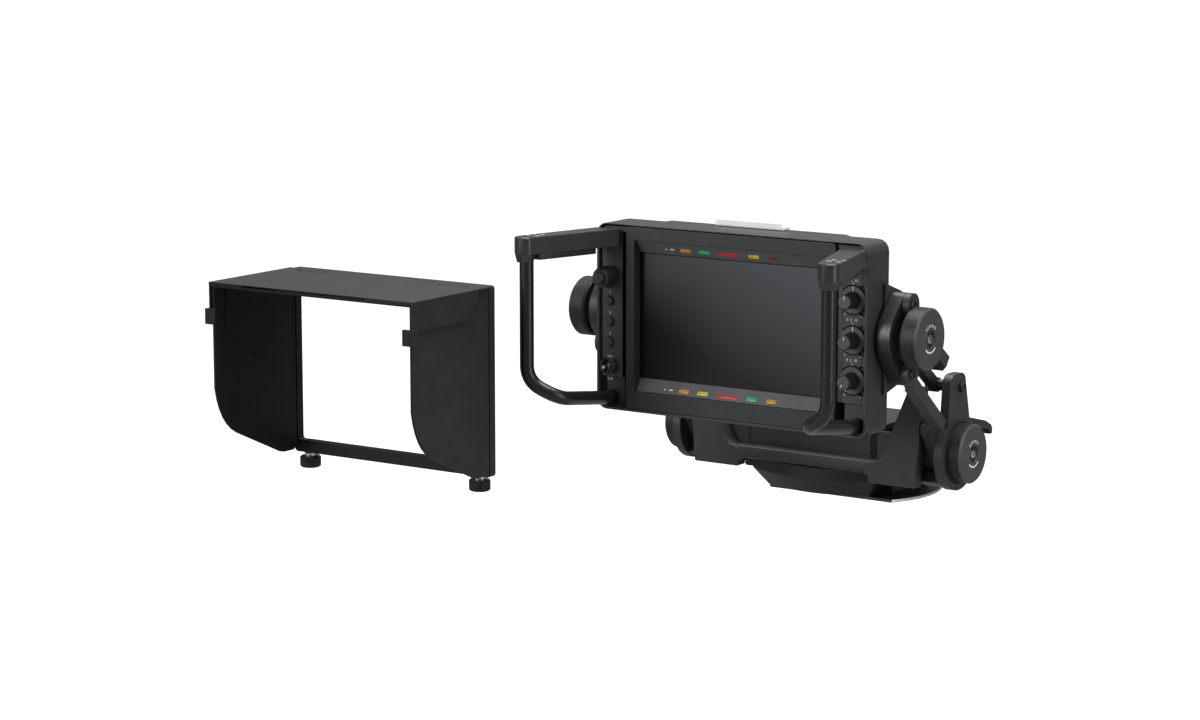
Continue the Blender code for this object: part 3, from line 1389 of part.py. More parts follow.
# Control strips and the boards behind them; the right strip is sunk round each knob's disc
knob_rows = [STRIP_TOP_Z - STRIP_HEIGHT * share for share in KNOB_ROW_SHARES]
button_rows = [STRIP_TOP_Z - STRIP_HEIGHT * share for share in BUTTON_ROW_SHARES]
strip_back = STRIP_FRONT_Y + STRIP_THICK
for side, label in SIDES:
    strip = side_box(
        "control_strip_" + label,
        side,
        STRIP_IN_X + TOUCH_GAP,
        STRIP_OUT_X,
        STRIP_FRONT_Y,
        strip_back,
        STRIP_BOTTOM_Z,
        STRIP_TOP_Z,
        black,
    )
    board = side_box(
        "control_board_" + label,
        side,
        STRIP_IN_X + CASE_SHELL,
        CASE_HALF - CASE_SIDE - TOUCH_GAP,
        POT_BACK_Y,
        POT_BACK_Y + BOARD_THICK,
        STRIP_BOTTOM_Z + CASE_SHELL,
        STRIP_TOP_Z - CASE_SHELL,
        board_look,
    )
    if side == RIGHT:
        bores = [(CONTROL_X, row, CAP_STEM + RUN_GAP) for row in knob_rows]
    else:
        bores = [(LEFT_X, DIAL_Z, MENU_CAP_RADIUS + RUN_GAP)]
        bores += [(LEFT_X, row, BUTTON_RADIUS + RUN_GAP) for row in button_rows]
        bores += [(LEFT_X, TOGGLE_Z, TOGGLE_COLLAR - RUN_GAP)]
    for across, up, radius in bores:
        place = axis_frame("front", (side * across, 0, up))
        hole = rod(
            "control_bore", radius, -strip_back - SLIDE_GAP, SLIDE_GAP - STRIP_FRONT_Y, SMALL_STEPS,
            place, black
        )
        cut(strip, hole)
        if side == RIGHT:
            well = rod(
                "well", DISC_RADIUS + RUN_GAP, -STRIP_FRONT_Y - WELL_DEPTH, SLIDE_GAP - STRIP_FRONT_Y,
                FINE_STEPS, place, black
            )
            notch = side_box(
                "notch",
                side,
                NOTCH_IN_X,
                STRIP_OUT_X + SLIDE_GAP,
                STRIP_FRONT_Y - SLIDE_GAP,
                STRIP_FRONT_Y + WELL_DEPTH,
                up - DISC_RADIUS - RUN_GAP / 2,
                up + DISC_RADIUS + RUN_GAP / 2,
                black,
            )
            cut(strip, join(well, notch))
        pot = side_box(
            "pot",
            side,
            across - POT_SIZE / 3,
            across + POT_SIZE / 3,
            strip_back + SLIDE_GAP + MENU_CAP_TRAVEL + BUTTON_TRAVEL,
            POT_BACK_Y + BOARD_THICK / 2,
            up - POT_SIZE / 3,
            up + POT_SIZE / 3,
            board_look,
        )
        join(board, pot)

# Right side: three control knobs, each a disc with a tapered cap
for number, row in enumerate(knob_rows):
    place = axis_frame("front", (CONTROL_X, 0, row))
    disc_face = SLIDE_GAP - STRIP_FRONT_Y
    profile = [
        (0, -CAP_END_Y),
        (CAP_RADIUS - CAP_EDGE, -CAP_END_Y),
        (CAP_RADIUS, -CAP_END_Y - CAP_EDGE),
        (CAP_ROOT, disc_face + CAP_EDGE * 2),
        (CAP_ROOT + CAP_EDGE * 2, disc_face),
        (DISC_RADIUS - TOUCH_GAP, disc_face),
        (DISC_RADIUS, disc_face - TOUCH_GAP),
        (DISC_RADIUS, disc_face - DISC_THICK),
        (CAP_STEM, disc_face - DISC_THICK),
        (CAP_STEM, -strip_back - SLIDE_GAP),
        (0, -strip_back - SLIDE_GAP),
    ]
    turned("control_knob_%d" % (number + 1), profile, False, FINE_STEPS, place, knob_look)

# Left side: a menu dial with its press cap, three buttons and the power toggle
dial_frame = axis_frame("front", (-LEFT_X, 0, DIAL_Z))
dial_profile = [
    (MENU_CAP_RADIUS + RUN_GAP, -DIAL_END_Y),
    (DIAL_NOSE, -DIAL_END_Y),
    (DIAL_NOSE + KNOB_CHAMFER, -DIAL_END_Y - KNOB_CHAMFER),
    (DIAL_RADIUS, RUN_GAP + KNOB_CHAMFER - CASE_FRONT_Y),
    (DIAL_RADIUS, RUN_GAP - CASE_FRONT_Y),
    (DIAL_NOSE, RUN_GAP - CASE_FRONT_Y),
    (DIAL_NOSE, SLIDE_GAP - STRIP_FRONT_Y),
    (MENU_CAP_RADIUS + RUN_GAP, SLIDE_GAP - STRIP_FRONT_Y),
]
turned("menu_dial", dial_profile, True, ROUND_STEPS, dial_frame, knob_look)
cap_profile = [
    (0, -MENU_CAP_END_Y),
    (MENU_CAP_RADIUS - KNOB_CHAMFER / 2, -MENU_CAP_END_Y),
    (MENU_CAP_RADIUS, -MENU_CAP_END_Y - KNOB_CHAMFER / 2),
    (MENU_CAP_RADIUS, -strip_back),
    (0, -strip_back),
]
turned("menu_cap", cap_profile, False, ROUND_STEPS, dial_frame, knob_look)
for number, row in enumerate(button_rows):
    place = axis_frame("front", (-LEFT_X, 0, row))
    profile = [
        (0, -BUTTON_END_Y),
        (BUTTON_RADIUS - KNOB_DISH, -BUTTON_END_Y),
        (BUTTON_RADIUS, -BUTTON_END_Y - KNOB_DISH),
        (BUTTON_RADIUS, -strip_back),
        (0, -strip_back),
    ]
    turned("push_button_%d" % (number + 1), profile, False, SMALL_STEPS, place, knob_look)
toggle_frame = axis_frame("front", (-LEFT_X, 0, TOGGLE_Z))
collar_profile = [
    (TOGGLE_RADIUS * 1.7, -TOGGLE_PIVOT_Y),
    (TOGGLE_COLLAR, -TOGGLE_PIVOT_Y),
    (TOGGLE_COLLAR, TOUCH_GAP - STRIP_FRONT_Y),
    (TOGGLE_RADIUS * 1.7, TOUCH_GAP - STRIP_FRONT_Y),
]
turned("toggle_collar", collar_profile, True, SMALL_STEPS, toggle_frame, steel)
ball = TOGGLE_RADIUS * 1.7 - TOUCH_GAP
bat_profile = [
    (0, -TOGGLE_PIVOT_Y + TOGGLE_BAT),
    (TOGGLE_RADIUS, -TOGGLE_PIVOT_Y + TOGGLE_BAT - TOGGLE_RADIUS),
]
bat_profile += arc((0, -TOGGLE_PIVOT_Y), ball, math.pi / 3, -math.pi / 3, 4)
bat_profile += [(0, -TOGGLE_PIVOT_Y - ball)]
turned("power_toggle", bat_profile, False, SMALL_STEPS, toggle_frame, steel)

# Tally lens on the case's top
lens_section = [
    (-LENS_HALF, CASE_TOP_Z + TOUCH_GAP),
    (LENS_HALF, CASE_TOP_Z + TOUCH_GAP),
    (LENS_HALF, CASE_TOP_Z + CASE_SHELL),
    (LENS_CROWN_HALF, LENS_TOP_Z),
    (-LENS_CROWN_HALF, LENS_TOP_Z),
    (-LENS_HALF, CASE_TOP_Z + CASE_SHELL),
]
tally_lens = front_slab("tally_lens", [lens_section], LENS_FRONT_Y, LENS_REAR_Y, white)
soften(tally_lens, RUN_GAP * 3, 2)


def rounded_path(nodes, radius, steps):
    """A path through its nodes with a smooth bend at each corner."""
    points = [Vector(nodes[0])]
    for before, corner, after in zip(nodes, nodes[1:], nodes[2:]):
        corner = Vector(corner)
        back = Vector(before) - corner
        ahead = Vector(after) - corner
        reach = min(radius, back.length * 0.45, ahead.length * 0.45)
        start = corner + back.normalized() * reach
        end = corner + ahead.normalized() * reach
        for step in range(steps + 1):
            share = step / steps
            first = start.lerp(corner, share)
            second = corner.lerp(end, share)
            points.append(first.lerp(second, share))
    points.append(Vector(nodes[-1]))
    return points


# Handles: a bent tube each side, and the block that carries its top; the block's wide root
# has a tenon against the control strip and a thin fin along the case's side
for side, label in SIDES:
    nodes = [
        (side * TUBE_X, TUBE_Y, TUBE_TOP_Z),
        (side * TUBE_X, TUBE_Y, TUBE_KNEE_Z),
        (side * TUBE_CORNER_X, TUBE_CORNER_Y, TUBE_CORNER_Z),
        (side * TUBE_ENTRY_X, STRIP_FRONT_Y, TUBE_ENTRY_Z),
        (side * TUBE_ENTRY_X, TUBE_END_Y, TUBE_ENTRY_Z),
    ]
    route = rounded_path(nodes, TUBE_BEND, 4)
    curve = bpy.data.curves.new("handle_tube_" + label, "CURVE")
    curve.dimensions = "3D"
    curve.bevel_depth = TUBE_RADIUS
    curve.bevel_resolution = 2
    curve.use_fill_caps = True
    curve.twist_mode = "MINIMUM"
    spline = curve.splines.new("POLY")
    spline.points.add(len(route) - 1)
    for point, place in zip(spline.points, route):
        point.co = (*place, 1)
    guide = bpy.data.objects.new("handle_tube_" + label, curve)
    bpy.context.scene.collection.objects.link(guide)
    bpy.context.view_layer.update()
    ready = guide.evaluated_get(bpy.context.evaluated_depsgraph_get())
    mesh = bpy.data.meshes.new_from_object(ready)
    bpy.data.objects.remove(guide, do_unlink=True)
    shape = bmesh.new()
    shape.from_mesh(mesh)
    bmesh.ops.remove_doubles(shape, verts=shape.verts, dist=MERGE)
    bmesh.ops.recalc_face_normals(shape, faces=shape.faces)
    shape.to_mesh(mesh)
    shape.free()
    tube = add("handle_tube_" + label, mesh, black)
    pivot(tube, (0, TILT_Y, TILT_Z))
    front_centre = (side * BLOCK_X, BLOCK_Y)
    root = [
        (side * (BLOCK_ROOT_X - BLOCK_ROOT_HALF), CASE_FRONT_Y - TOUCH_GAP),
        (side * (BLOCK_ROOT_X + BLOCK_ROOT_HALF), CASE_FRONT_Y - TOUCH_GAP),
    ]
    block_outline = hull(ring_of(front_centre, BLOCK_RADIUS, ROUND_STEPS) + root)
    block = slab(
        "handle_block_" + label,
        [block_outline],
        BLOCK_ARM_Z,
        BLOCK_TOP_Z,
        frame_for("Z"),
        black,
    )
    pivot(block, (0, TILT_Y, TILT_Z))
    soften(block, CASE_RIM, 1)
    collar_profile = [
        (0, BLOCK_TOP_Z - CASE_SIDE),
        (BLOCK_RADIUS - TOUCH_GAP, BLOCK_TOP_Z - CASE_SIDE),
        (BLOCK_RADIUS - TOUCH_GAP, BLOCK_ARM_Z),
        (BLOCK_COLLAR_RADIUS, BLOCK_COLLAR_Z),
        (0, BLOCK_COLLAR_Z),
    ]
    collar = turned(
        "collar_" + label, collar_profile, False, ROUND_STEPS, axis_frame("up", (*front_centre, 0)), black
    )
    tube_well = rod(
        "tube_well_" + label,
        TUBE_RADIUS + TOUCH_GAP,
        BLOCK_COLLAR_Z - SLIDE_GAP,
        TUBE_TOP_Z + TOUCH_GAP,
        ROUND_STEPS,
        axis_frame("up", (side * TUBE_X, TUBE_Y, 0)),
        black,
    )
    tenon = side_box(
        "tenon_" + label,
        side,
        BLOCK_ROOT_X - BLOCK_ROOT_HALF + TOUCH_GAP,
        BLOCK_TENON_OUT_X,
        CASE_FRONT_Y - BLOCK_FIN_THICK,
        STRIP_FRONT_Y - TOUCH_GAP,
        BLOCK_ARM_Z + TOUCH_GAP,
        STRIP_TOP_Z,
        black,
    )
    fin_outline = [
        (BLOCK_FIN_FROM_Y, BLOCK_FIN_BOTTOM_Z),
        (BLOCK_FIN_TO_Y, BLOCK_FIN_BOTTOM_Z + BLOCK_FIN_TAPER),
        (BLOCK_FIN_TO_Y, BLOCK_FIN_TOP_Z - BLOCK_FIN_TAPER / 2),
        (BLOCK_FIN_FROM_Y, BLOCK_FIN_TOP_Z),
    ]
    fin = side_slab(
        "fin_" + label,
        [fin_outline],
        CASE_HALF + TOUCH_GAP,
        CASE_HALF + TOUCH_GAP + BLOCK_FIN_THICK,
        side,
        black,
    )
    join(block, collar, tenon, fin)
    cut(block, tube_well)

# Hood: a rear frame, a top with skirts, two side walls that fold inwards, thumb screws
hood_outer = rounded_box(
    HOOD_X - HOOD_FRAME_HALF, HOOD_X + HOOD_FRAME_HALF, HOOD_BOTTOM_Z, HOOD_TOP_Z, CASE_RIM, 2
)
hood_inner = rounded_box(
    HOOD_X - HOOD_FRAME_HALF + HOOD_FRAME_SIDE,
    HOOD_X + HOOD_FRAME_HALF - HOOD_FRAME_SIDE,
    HOOD_BOTTOM_Z + HOOD_FRAME_BAR,
    HOOD_TOP_Z - HOOD_FRAME_HEAD,
    CASE_RIM,
    2,
)
hood_frame = front_slab(
    "hood_frame", [hood_outer, hood_inner], HOOD_FRAME_Y, HOOD_REAR_Y, hood_look
)
hood_top = box(
    "hood_top",
    (HOOD_X - HOOD_TOP_HALF, HOOD_FRONT_Y, HOOD_TOP_Z - HOOD_TOP_THICK),
    (HOOD_X + HOOD_TOP_HALF, HOOD_FRAME_Y - TOUCH_GAP, HOOD_TOP_Z),
    hood_look,
)
for side, label in SIDES:
    skirt_outline = [
        (HOOD_FRONT_Y, HOOD_TOP_Z - HOOD_TOP_THICK / 2),
        (HOOD_FRONT_Y, HOOD_SKIRT_Z),
        (HOOD_SKIRT_REAR_Y, HOOD_SKIRT_Z),
        (HOOD_SKIRT_END_Y, (HOOD_SKIRT_Z + HOOD_TOP_Z * 2) / 3),
        (HOOD_SKIRT_END_Y, HOOD_TOP_Z - HOOD_TOP_THICK / 2),
    ]
    skirt = slab(
        "skirt_" + label,
        [skirt_outline],
        HOOD_TOP_HALF - HOOD_SKIRT_THICK,
        HOOD_TOP_HALF - TOUCH_GAP / 3,
        Matrix.Translation((HOOD_X, 0, 0)) @ frame_for("X", side),
        hood_look,
    )
    join(hood_top, skirt)
for side, label in SIDES:
    latch_outline = [
        (HOOD_X + side * HOOD_LATCH_IN_X, HOOD_FRONT_Y - TOUCH_GAP - CASE_RIM),
        (HOOD_X + side * (HOOD_TOP_HALF + CASE_RIM), HOOD_FRONT_Y - TOUCH_GAP - CASE_RIM),
        (HOOD_X + side * (HOOD_TOP_HALF + CASE_RIM), HOOD_FRONT_Y + HOOD_LATCH_REACH / 2),
        (HOOD_X + side * (HOOD_TOP_HALF - SLIDE_GAP * 2), HOOD_FRONT_Y + HOOD_LATCH_REACH / 2),
        (HOOD_X + side * (HOOD_TOP_HALF - SLIDE_GAP * 2), HOOD_FRONT_Y + RUN_GAP),
        (HOOD_X + side * HOOD_LATCH_IN_X, HOOD_FRONT_Y + RUN_GAP),
    ]
    latch = slab(
        "hood_latch",
        [latch_outline],
        HOOD_SKIRT_Z - HOOD_LATCH_DROP,
        HOOD_SKIRT_Z + CASE_RIM,
        frame_for("Z"),
        hood_look,
    )
    join(hood_top, latch)
    hinge_y = HOOD_FRAME_Y - HOOD_WALL_THICK / 2 - SLIDE_GAP
    if side == LEFT:
        hinge_y -= HOOD_WALL_STEP
    wall_foot_rear = HOOD_FRAME_Y - SLIDE_GAP
    if side == LEFT:
        wall_foot_rear -= HOOD_WALL_STEP
    wall_outline = [
        (wall_foot_rear, HOOD_TOP_Z - HOOD_TOP_THICK - TOUCH_GAP * 2),
        (HOOD_WALL_FRONT_Y, HOOD_TOP_Z - HOOD_TOP_THICK - TOUCH_GAP * 2),
        (HOOD_WALL_FRONT_Y, HOOD_WALL_CURVE_Z),
    ]
    corner = Vector((HOOD_WALL_FRONT_Y + HOOD_LATCH_REACH / 2, HOOD_WALL_KNEE_Z + HOOD_LATCH_DROP))
    start = Vector(wall_outline[-1])
    end = Vector((HOOD_WALL_KNEE_Y, HOOD_WALL_KNEE_Z))
    for step in range(1, 6):
        share = step / 6
        wall_outline.append(tuple(start.lerp(corner, share).lerp(corner.lerp(end, share), share)))
    wall_outline += [
        (HOOD_WALL_KNEE_Y, HOOD_WALL_KNEE_Z),
        (HOOD_WALL_FOOT_Y, HOOD_WALL_FOOT_Z + CASE_RIM / 2),
        (HOOD_WALL_FOOT_Y + HOOD_LATCH_REACH / 2, HOOD_WALL_FOOT_Z),
        (wall_foot_rear, HOOD_WALL_FOOT_Z),
    ]
    wall = slab(
        "hood_wall_" + label,
        [wall_outline[::-1]],
        HOOD_WALL_MID - HOOD_WALL_THICK / 2,
        HOOD_WALL_MID + HOOD_WALL_THICK / 2,
        Matrix.Translation((HOOD_X, 0, 0)) @ frame_for("X", side),
        hood_look,
    )
    pivot(wall, (HOOD_X + side * HOOD_WALL_MID, hinge_y, HOOD_TOP_Z / 2))
    thumb_place = axis_frame("up", (HOOD_X + side * THUMB_X, THUMB_Y, 0))
    thumb_profile = [
        (0, THUMB_STEM_TOP_Z),
        (THUMB_STEM, THUMB_STEM_TOP_Z),
        (THUMB_STEM, THUMB_BOTTOM_Z + THUMB_HEIGHT),
        (THUMB_RADIUS - KNOB_CHAMFER, THUMB_BOTTOM_Z + THUMB_HEIGHT),
        (THUMB_RADIUS, THUMB_BOTTOM_Z + THUMB_HEIGHT - KNOB_CHAMFER),
        (THUMB_RADIUS, THUMB_BOTTOM_Z + KNOB_CHAMFER),
        (THUMB_RADIUS - KNOB_CHAMFER, THUMB_BOTTOM_Z),
        (0, THUMB_BOTTOM_Z),
    ]
    turned("thumb_screw_" + label, thumb_profile, False, ROUND_STEPS, thumb_place, knob_look)
    stem_bore = rod(
        "stem_bore_" + label,
        THUMB_STEM + RUN_GAP,
        HOOD_BOTTOM_Z - SLIDE_GAP,
        HOOD_BOTTOM_Z + HOOD_FRAME_BAR + SLIDE_GAP,
        SMALL_STEPS,
        thumb_place,
        hood_look,
    )
    cut(hood_frame, stem_bore)
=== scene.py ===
import math

import bmesh
import bpy
from mathutils import Matrix, Vector


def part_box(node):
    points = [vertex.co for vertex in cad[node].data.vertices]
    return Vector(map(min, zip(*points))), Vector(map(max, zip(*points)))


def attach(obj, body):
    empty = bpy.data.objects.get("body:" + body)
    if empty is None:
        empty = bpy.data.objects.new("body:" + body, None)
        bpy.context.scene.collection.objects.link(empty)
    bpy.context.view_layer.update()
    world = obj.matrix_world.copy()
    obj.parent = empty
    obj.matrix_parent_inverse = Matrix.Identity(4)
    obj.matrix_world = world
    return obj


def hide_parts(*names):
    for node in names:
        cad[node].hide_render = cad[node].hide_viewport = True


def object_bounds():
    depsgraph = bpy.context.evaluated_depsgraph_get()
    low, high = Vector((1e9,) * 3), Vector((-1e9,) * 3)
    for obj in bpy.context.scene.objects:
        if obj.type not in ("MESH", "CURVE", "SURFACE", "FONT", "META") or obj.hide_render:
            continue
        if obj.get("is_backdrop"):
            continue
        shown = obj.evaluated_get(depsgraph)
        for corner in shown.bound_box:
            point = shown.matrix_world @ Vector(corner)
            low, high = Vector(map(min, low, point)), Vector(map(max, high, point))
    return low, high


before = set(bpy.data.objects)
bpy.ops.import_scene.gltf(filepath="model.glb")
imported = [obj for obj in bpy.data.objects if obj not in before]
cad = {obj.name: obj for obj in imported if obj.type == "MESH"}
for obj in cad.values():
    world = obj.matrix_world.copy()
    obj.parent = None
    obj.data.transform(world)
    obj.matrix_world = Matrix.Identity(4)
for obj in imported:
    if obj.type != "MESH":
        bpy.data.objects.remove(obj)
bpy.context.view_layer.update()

# The studio: a camera fitted to the photograph, white paper far below the part, a white
# world behind it, and large soft lamps above, to the right and in front.
CAMERA_PLACE = (1.2498, -2.2323, 0.5345)
CAMERA_TURN = (80.418, 0.0, 33.781)
CAMERA_LENS = 94.60
SENSOR = 36.0
FAR_CLIP = 100.0
FLOOR_DROP = 0.30
FLOOR_SIZE = 60.0
FLOOR_TONE = (0.30, 0.30, 0.30, 1)
FLOOR_ROUGHNESS = 0.9
WHITE = (1, 1, 1, 1)
WORLD_LEVEL = 0.27
WORLD_SEEN = 1.0
MIDDLE = Vector((-0.10, -0.20, 0.12))
LAMPS = (
    ("lamp_top", (-0.1, 0.1, 1.9), (1.8, 1.6), 60.0),
    ("lamp_right", (2.1, -0.3, 0.62), (0.8, 1.8), 17.0),
    ("lamp_front", (-1.1, -2.3, 0.90), (0.6, 1.5), 30.0),
)
scene = bpy.context.scene
view_data = bpy.data.cameras.new("studio_camera")
view_data.lens = CAMERA_LENS
view_data.sensor_width = SENSOR
view_data.clip_end = FAR_CLIP
camera = bpy.data.objects.new("studio_camera", view_data)
camera.location = CAMERA_PLACE
camera.rotation_euler = [math.radians(angle) for angle in CAMERA_TURN]
scene.collection.objects.link(camera)
scene.camera = camera
scene.view_settings.view_transform = "Standard"

shape = bmesh.new()
bmesh.ops.create_grid(shape, x_segments=1, y_segments=1, size=FLOOR_SIZE / 2)
bmesh.ops.translate(shape, vec=(0, 0, -FLOOR_DROP), verts=shape.verts)
mesh = bpy.data.meshes.new("studio_floor")
shape.to_mesh(mesh)
shape.free()
floor = bpy.data.objects.new("studio_floor", mesh)
scene.collection.objects.link(floor)
floor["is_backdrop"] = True
paper = bpy.data.materials.new("studio_paper")
paper.use_nodes = True
tree = paper.node_tree
shader = tree.nodes["Principled BSDF"]
shader.inputs["Base Color"].default_value = FLOOR_TONE
shader.inputs["Roughness"].default_value = FLOOR_ROUGHNESS
shader.inputs["Emission Color"].default_value = WHITE
ray = tree.nodes.new("ShaderNodeLightPath")
tree.links.new(ray.outputs["Is Camera Ray"], shader.inputs["Emission Strength"])
mesh.materials.append(paper)

world = bpy.data.worlds.new("studio_world")
scene.world = world
world.use_nodes = True
tree = world.node_tree
ground = tree.nodes["Background"]
ground.inputs["Color"].default_value = WHITE
ray = tree.nodes.new("ShaderNodeLightPath")
level = tree.nodes.new("ShaderNodeMix")
level.data_type = "FLOAT"
level.inputs["A"].default_value = WORLD_LEVEL
level.inputs["B"].default_value = WORLD_SEEN
tree.links.new(ray.outputs["Is Camera Ray"], level.inputs["Factor"])
tree.links.new(level.outputs["Result"], ground.inputs["Strength"])

for name, spot, size, watts in LAMPS:
    data = bpy.data.lights.new(name, "AREA")
    data.shape = "RECTANGLE"
    data.size, data.size_y = size
    data.energy = watts
    lamp = bpy.data.objects.new(name, data)
    lamp.location = spot
    lamp.rotation_euler = (MIDDLE - Vector(spot)).to_track_quat("-Z", "Y").to_euler()
    scene.collection.objects.link(lamp)

# Mounting plate: a thin disc of steel sheet under the base, cut straight at the front. Its
# flat faces are painted dark, and the two sides of its turned rim are bare.
PLATE_EDGE = 0.0003
BARE_FROM = 0.3
RIM_TONE = (214, 214, 211)
NOISE_LOW = 0.3
NOISE_HIGH = 0.7
NOISE_DETAIL = 3.0
MIX_COLOUR_A = 6
MIX_COLOUR_B = 7
MIX_COLOUR_OUT = 2
WELD_REACH = 0.00001
FLAT_ANGLE = math.radians(0.5)
EDGE_ANGLE = math.radians(35)


def linear(red, green, blue):
    """A colour given as it looks on screen, 0 to 255, for a shader."""
    values = []
    for part in (red, green, blue):
        share = part / 255
        values.append(share / 12.92 if share <= 0.04045 else ((share + 0.055) / 1.055) ** 2.4)
    return (*values, 1)


def effect(name, inputs, outputs):
    """An empty shader node group with its sockets; returns it and its two end nodes."""
    group = bpy.data.node_groups.new(name, "ShaderNodeTree")
    for label in inputs:
        group.interface.new_socket(label, in_out="INPUT", socket_type="NodeSocketFloat")
    for label, kind in outputs:
        group.interface.new_socket(label, in_out="OUTPUT", socket_type="NodeSocket" + kind)
    return group, group.nodes.new("NodeGroupInput"), group.nodes.new("NodeGroupOutput")


def grain_effect():
    """Fine sprayed or moulded grain: a slow drift, the grain itself, and a dented normal."""
    group, start, end = effect(
        "surface_grain",
        ("Fineness", "Drift", "Depth"),
        (("Cloud", "Float"), ("Grain", "Float"), ("Normal", "Vector")),
    )
    nodes, links = group.nodes, group.links
    coords = nodes.new("ShaderNodeTexCoord")
    for socket, output in (("Drift", "Cloud"), ("Fineness", "Grain")):
        noise = nodes.new("ShaderNodeTexNoise")
        noise.inputs["Detail"].default_value = NOISE_DETAIL
        links.new(coords.outputs["Object"], noise.inputs["Vector"])
        links.new(start.outputs[socket], noise.inputs["Scale"])
        links.new(noise.outputs["Fac"], end.inputs[output])
    bump = nodes.new("ShaderNodeBump")
    links.new(noise.outputs["Fac"], bump.inputs["Height"])
    links.new(start.outputs["Depth"], bump.inputs["Distance"])
    links.new(bump.outputs["Normal"], end.inputs["Normal"])
    return group


def ramp_between(tree, source, low, high, start=NOISE_LOW, stop=NOISE_HIGH):
    """A colour that runs between two tones as a value runs between two levels."""
    ramp = tree.nodes.new("ShaderNodeValToRGB")
    ramp.color_ramp.elements[0].position = start
    ramp.color_ramp.elements[0].color = linear(*low)
    ramp.color_ramp.elements[1].position = stop
    ramp.color_ramp.elements[1].color = linear(*high)
    tree.links.new(source, ramp.inputs["Fac"])
    return ramp.outputs["Color"]


def spread_between(tree, source, low, high, start=NOISE_LOW, stop=NOISE_HIGH):
    """A number that runs between two levels as a value runs between two others."""
    change = tree.nodes.new("ShaderNodeMapRange")
    for socket, number in zip(("From Min", "From Max", "To Min", "To Max"), (start, stop, low, high)):
        change.inputs[socket].default_value = number
    tree.links.new(source, change.inputs["Value"])
    return change.outputs["Result"]


GRAIN = grain_effect()


def grained(name, low, high, rough, fineness=2600.0, depth=0.00003, metallic=0.0, drift=55.0):
    """A surface whose colour drifts between two tones over a fine grain."""
    made = bpy.data.materials.new(name)
    made.use_nodes = True
    tree = made.node_tree
    shader = tree.nodes["Principled BSDF"]
    grain = tree.nodes.new("ShaderNodeGroup")
    grain.node_tree = GRAIN
    grain.inputs["Fineness"].default_value = fineness
    grain.inputs["Drift"].default_value = drift
    grain.inputs["Depth"].default_value = depth
    colour = ramp_between(tree, grain.outputs["Cloud"], low, high)
    roughness = spread_between(tree, grain.outputs["Grain"], *rough)
    tree.links.new(colour, shader.inputs["Base Color"])
    tree.links.new(roughness, shader.inputs["Roughness"])
    tree.links.new(grain.outputs["Normal"], shader.inputs["Normal"])
    shader.inputs["Metallic"].default_value = metallic
    return made


def axes_of(tree, output, shift=(0, 0, 0)):
    """The X, Y and Z of a surface's place or facing, moved by a shift."""
    coords = tree.nodes.new("ShaderNodeTexCoord")
    centred = tree.nodes.new("ShaderNodeMapping")
    centred.inputs["Location"].default_value = shift
    axes = tree.nodes.new("ShaderNodeSeparateXYZ")
    tree.links.new(coords.outputs[output], centred.inputs["Vector"])
    tree.links.new(centred.outputs["Vector"], axes.inputs["Vector"])
    return axes.outputs


def worked(tree, operation, *values):
    """The result of a sum or comparison between sockets and numbers."""
    node = tree.nodes.new("ShaderNodeMath")
    node.operation = operation
    for socket, value in zip(node.inputs, values):
        if isinstance(value, bpy.types.NodeSocket):
            tree.links.new(value, socket)
        else:
            socket.default_value = value
    return node.outputs[0]


def masked(look, mask, tone):
    """Give a look another base colour, a tone or a socket, wherever a mask is 1."""
    tree = look.node_tree
    shader = tree.nodes["Principled BSDF"]
    blend = tree.nodes.new("ShaderNodeMix")
    blend.data_type = "RGBA"
    tree.links.new(mask, blend.inputs["Factor"])
    tree.links.new(shader.inputs["Base Color"].links[0].from_socket, blend.inputs[MIX_COLOUR_A])
    if isinstance(tone, bpy.types.NodeSocket):
        tree.links.new(tone, blend.inputs[MIX_COLOUR_B])
    else:
        blend.inputs[MIX_COLOUR_B].default_value = linear(*tone)
    tree.links.new(blend.outputs[MIX_COLOUR_OUT], shader.inputs["Base Color"])


def dress(names, look, edge=0.0):
    """Give CAD nodes their finish, and their sharp edges a small round."""
    for name in names:
        item = cad[name]
        item.material_slots[0].material = look
        if not edge:
            continue
        weld = item.modifiers.new("Weld", "WELD")
        weld.merge_threshold = WELD_REACH
        flat = item.modifiers.new("Flat faces", "DECIMATE")
        flat.decimate_type = "DISSOLVE"
        flat.angle_limit = FLAT_ANGLE
        bevel = item.modifiers.new("Edges", "BEVEL")
        bevel.width = edge
        bevel.segments = 2
        bevel.limit_method = "ANGLE"
        bevel.angle_limit = EDGE_ANGLE
        normal = item.modifiers.new("Normals", "WEIGHTED_NORMAL")
        normal.keep_sharp = False


plate_look = grained("plate_steel", (38, 38, 40), (50, 50, 52), (0.35, 0.55))
tree = plate_look.node_tree
sideways = worked(tree, "ABSOLUTE", axes_of(tree, "Normal")["X"])
rim = worked(tree, "GREATER_THAN", sideways, BARE_FROM)
masked(plate_look, rim, RIM_TONE)
tree.links.new(rim, tree.nodes["Principled BSDF"].inputs["Metallic"])
dress(["mounting_plate"], plate_look, PLATE_EDGE)

# Front housing: a matt black plastic moulding with a spark-eroded grain. It covers the
# turntable under the base and is screwed on from below.
HOUSING_EDGE = 0.0008
moulding_look = grained(
    "housing_moulding", (13, 13, 14), (18, 18, 19), (0.45, 0.60), fineness=1800.0, depth=0.00005
)
dress(["front_housing"], moulding_look, HOUSING_EDGE)

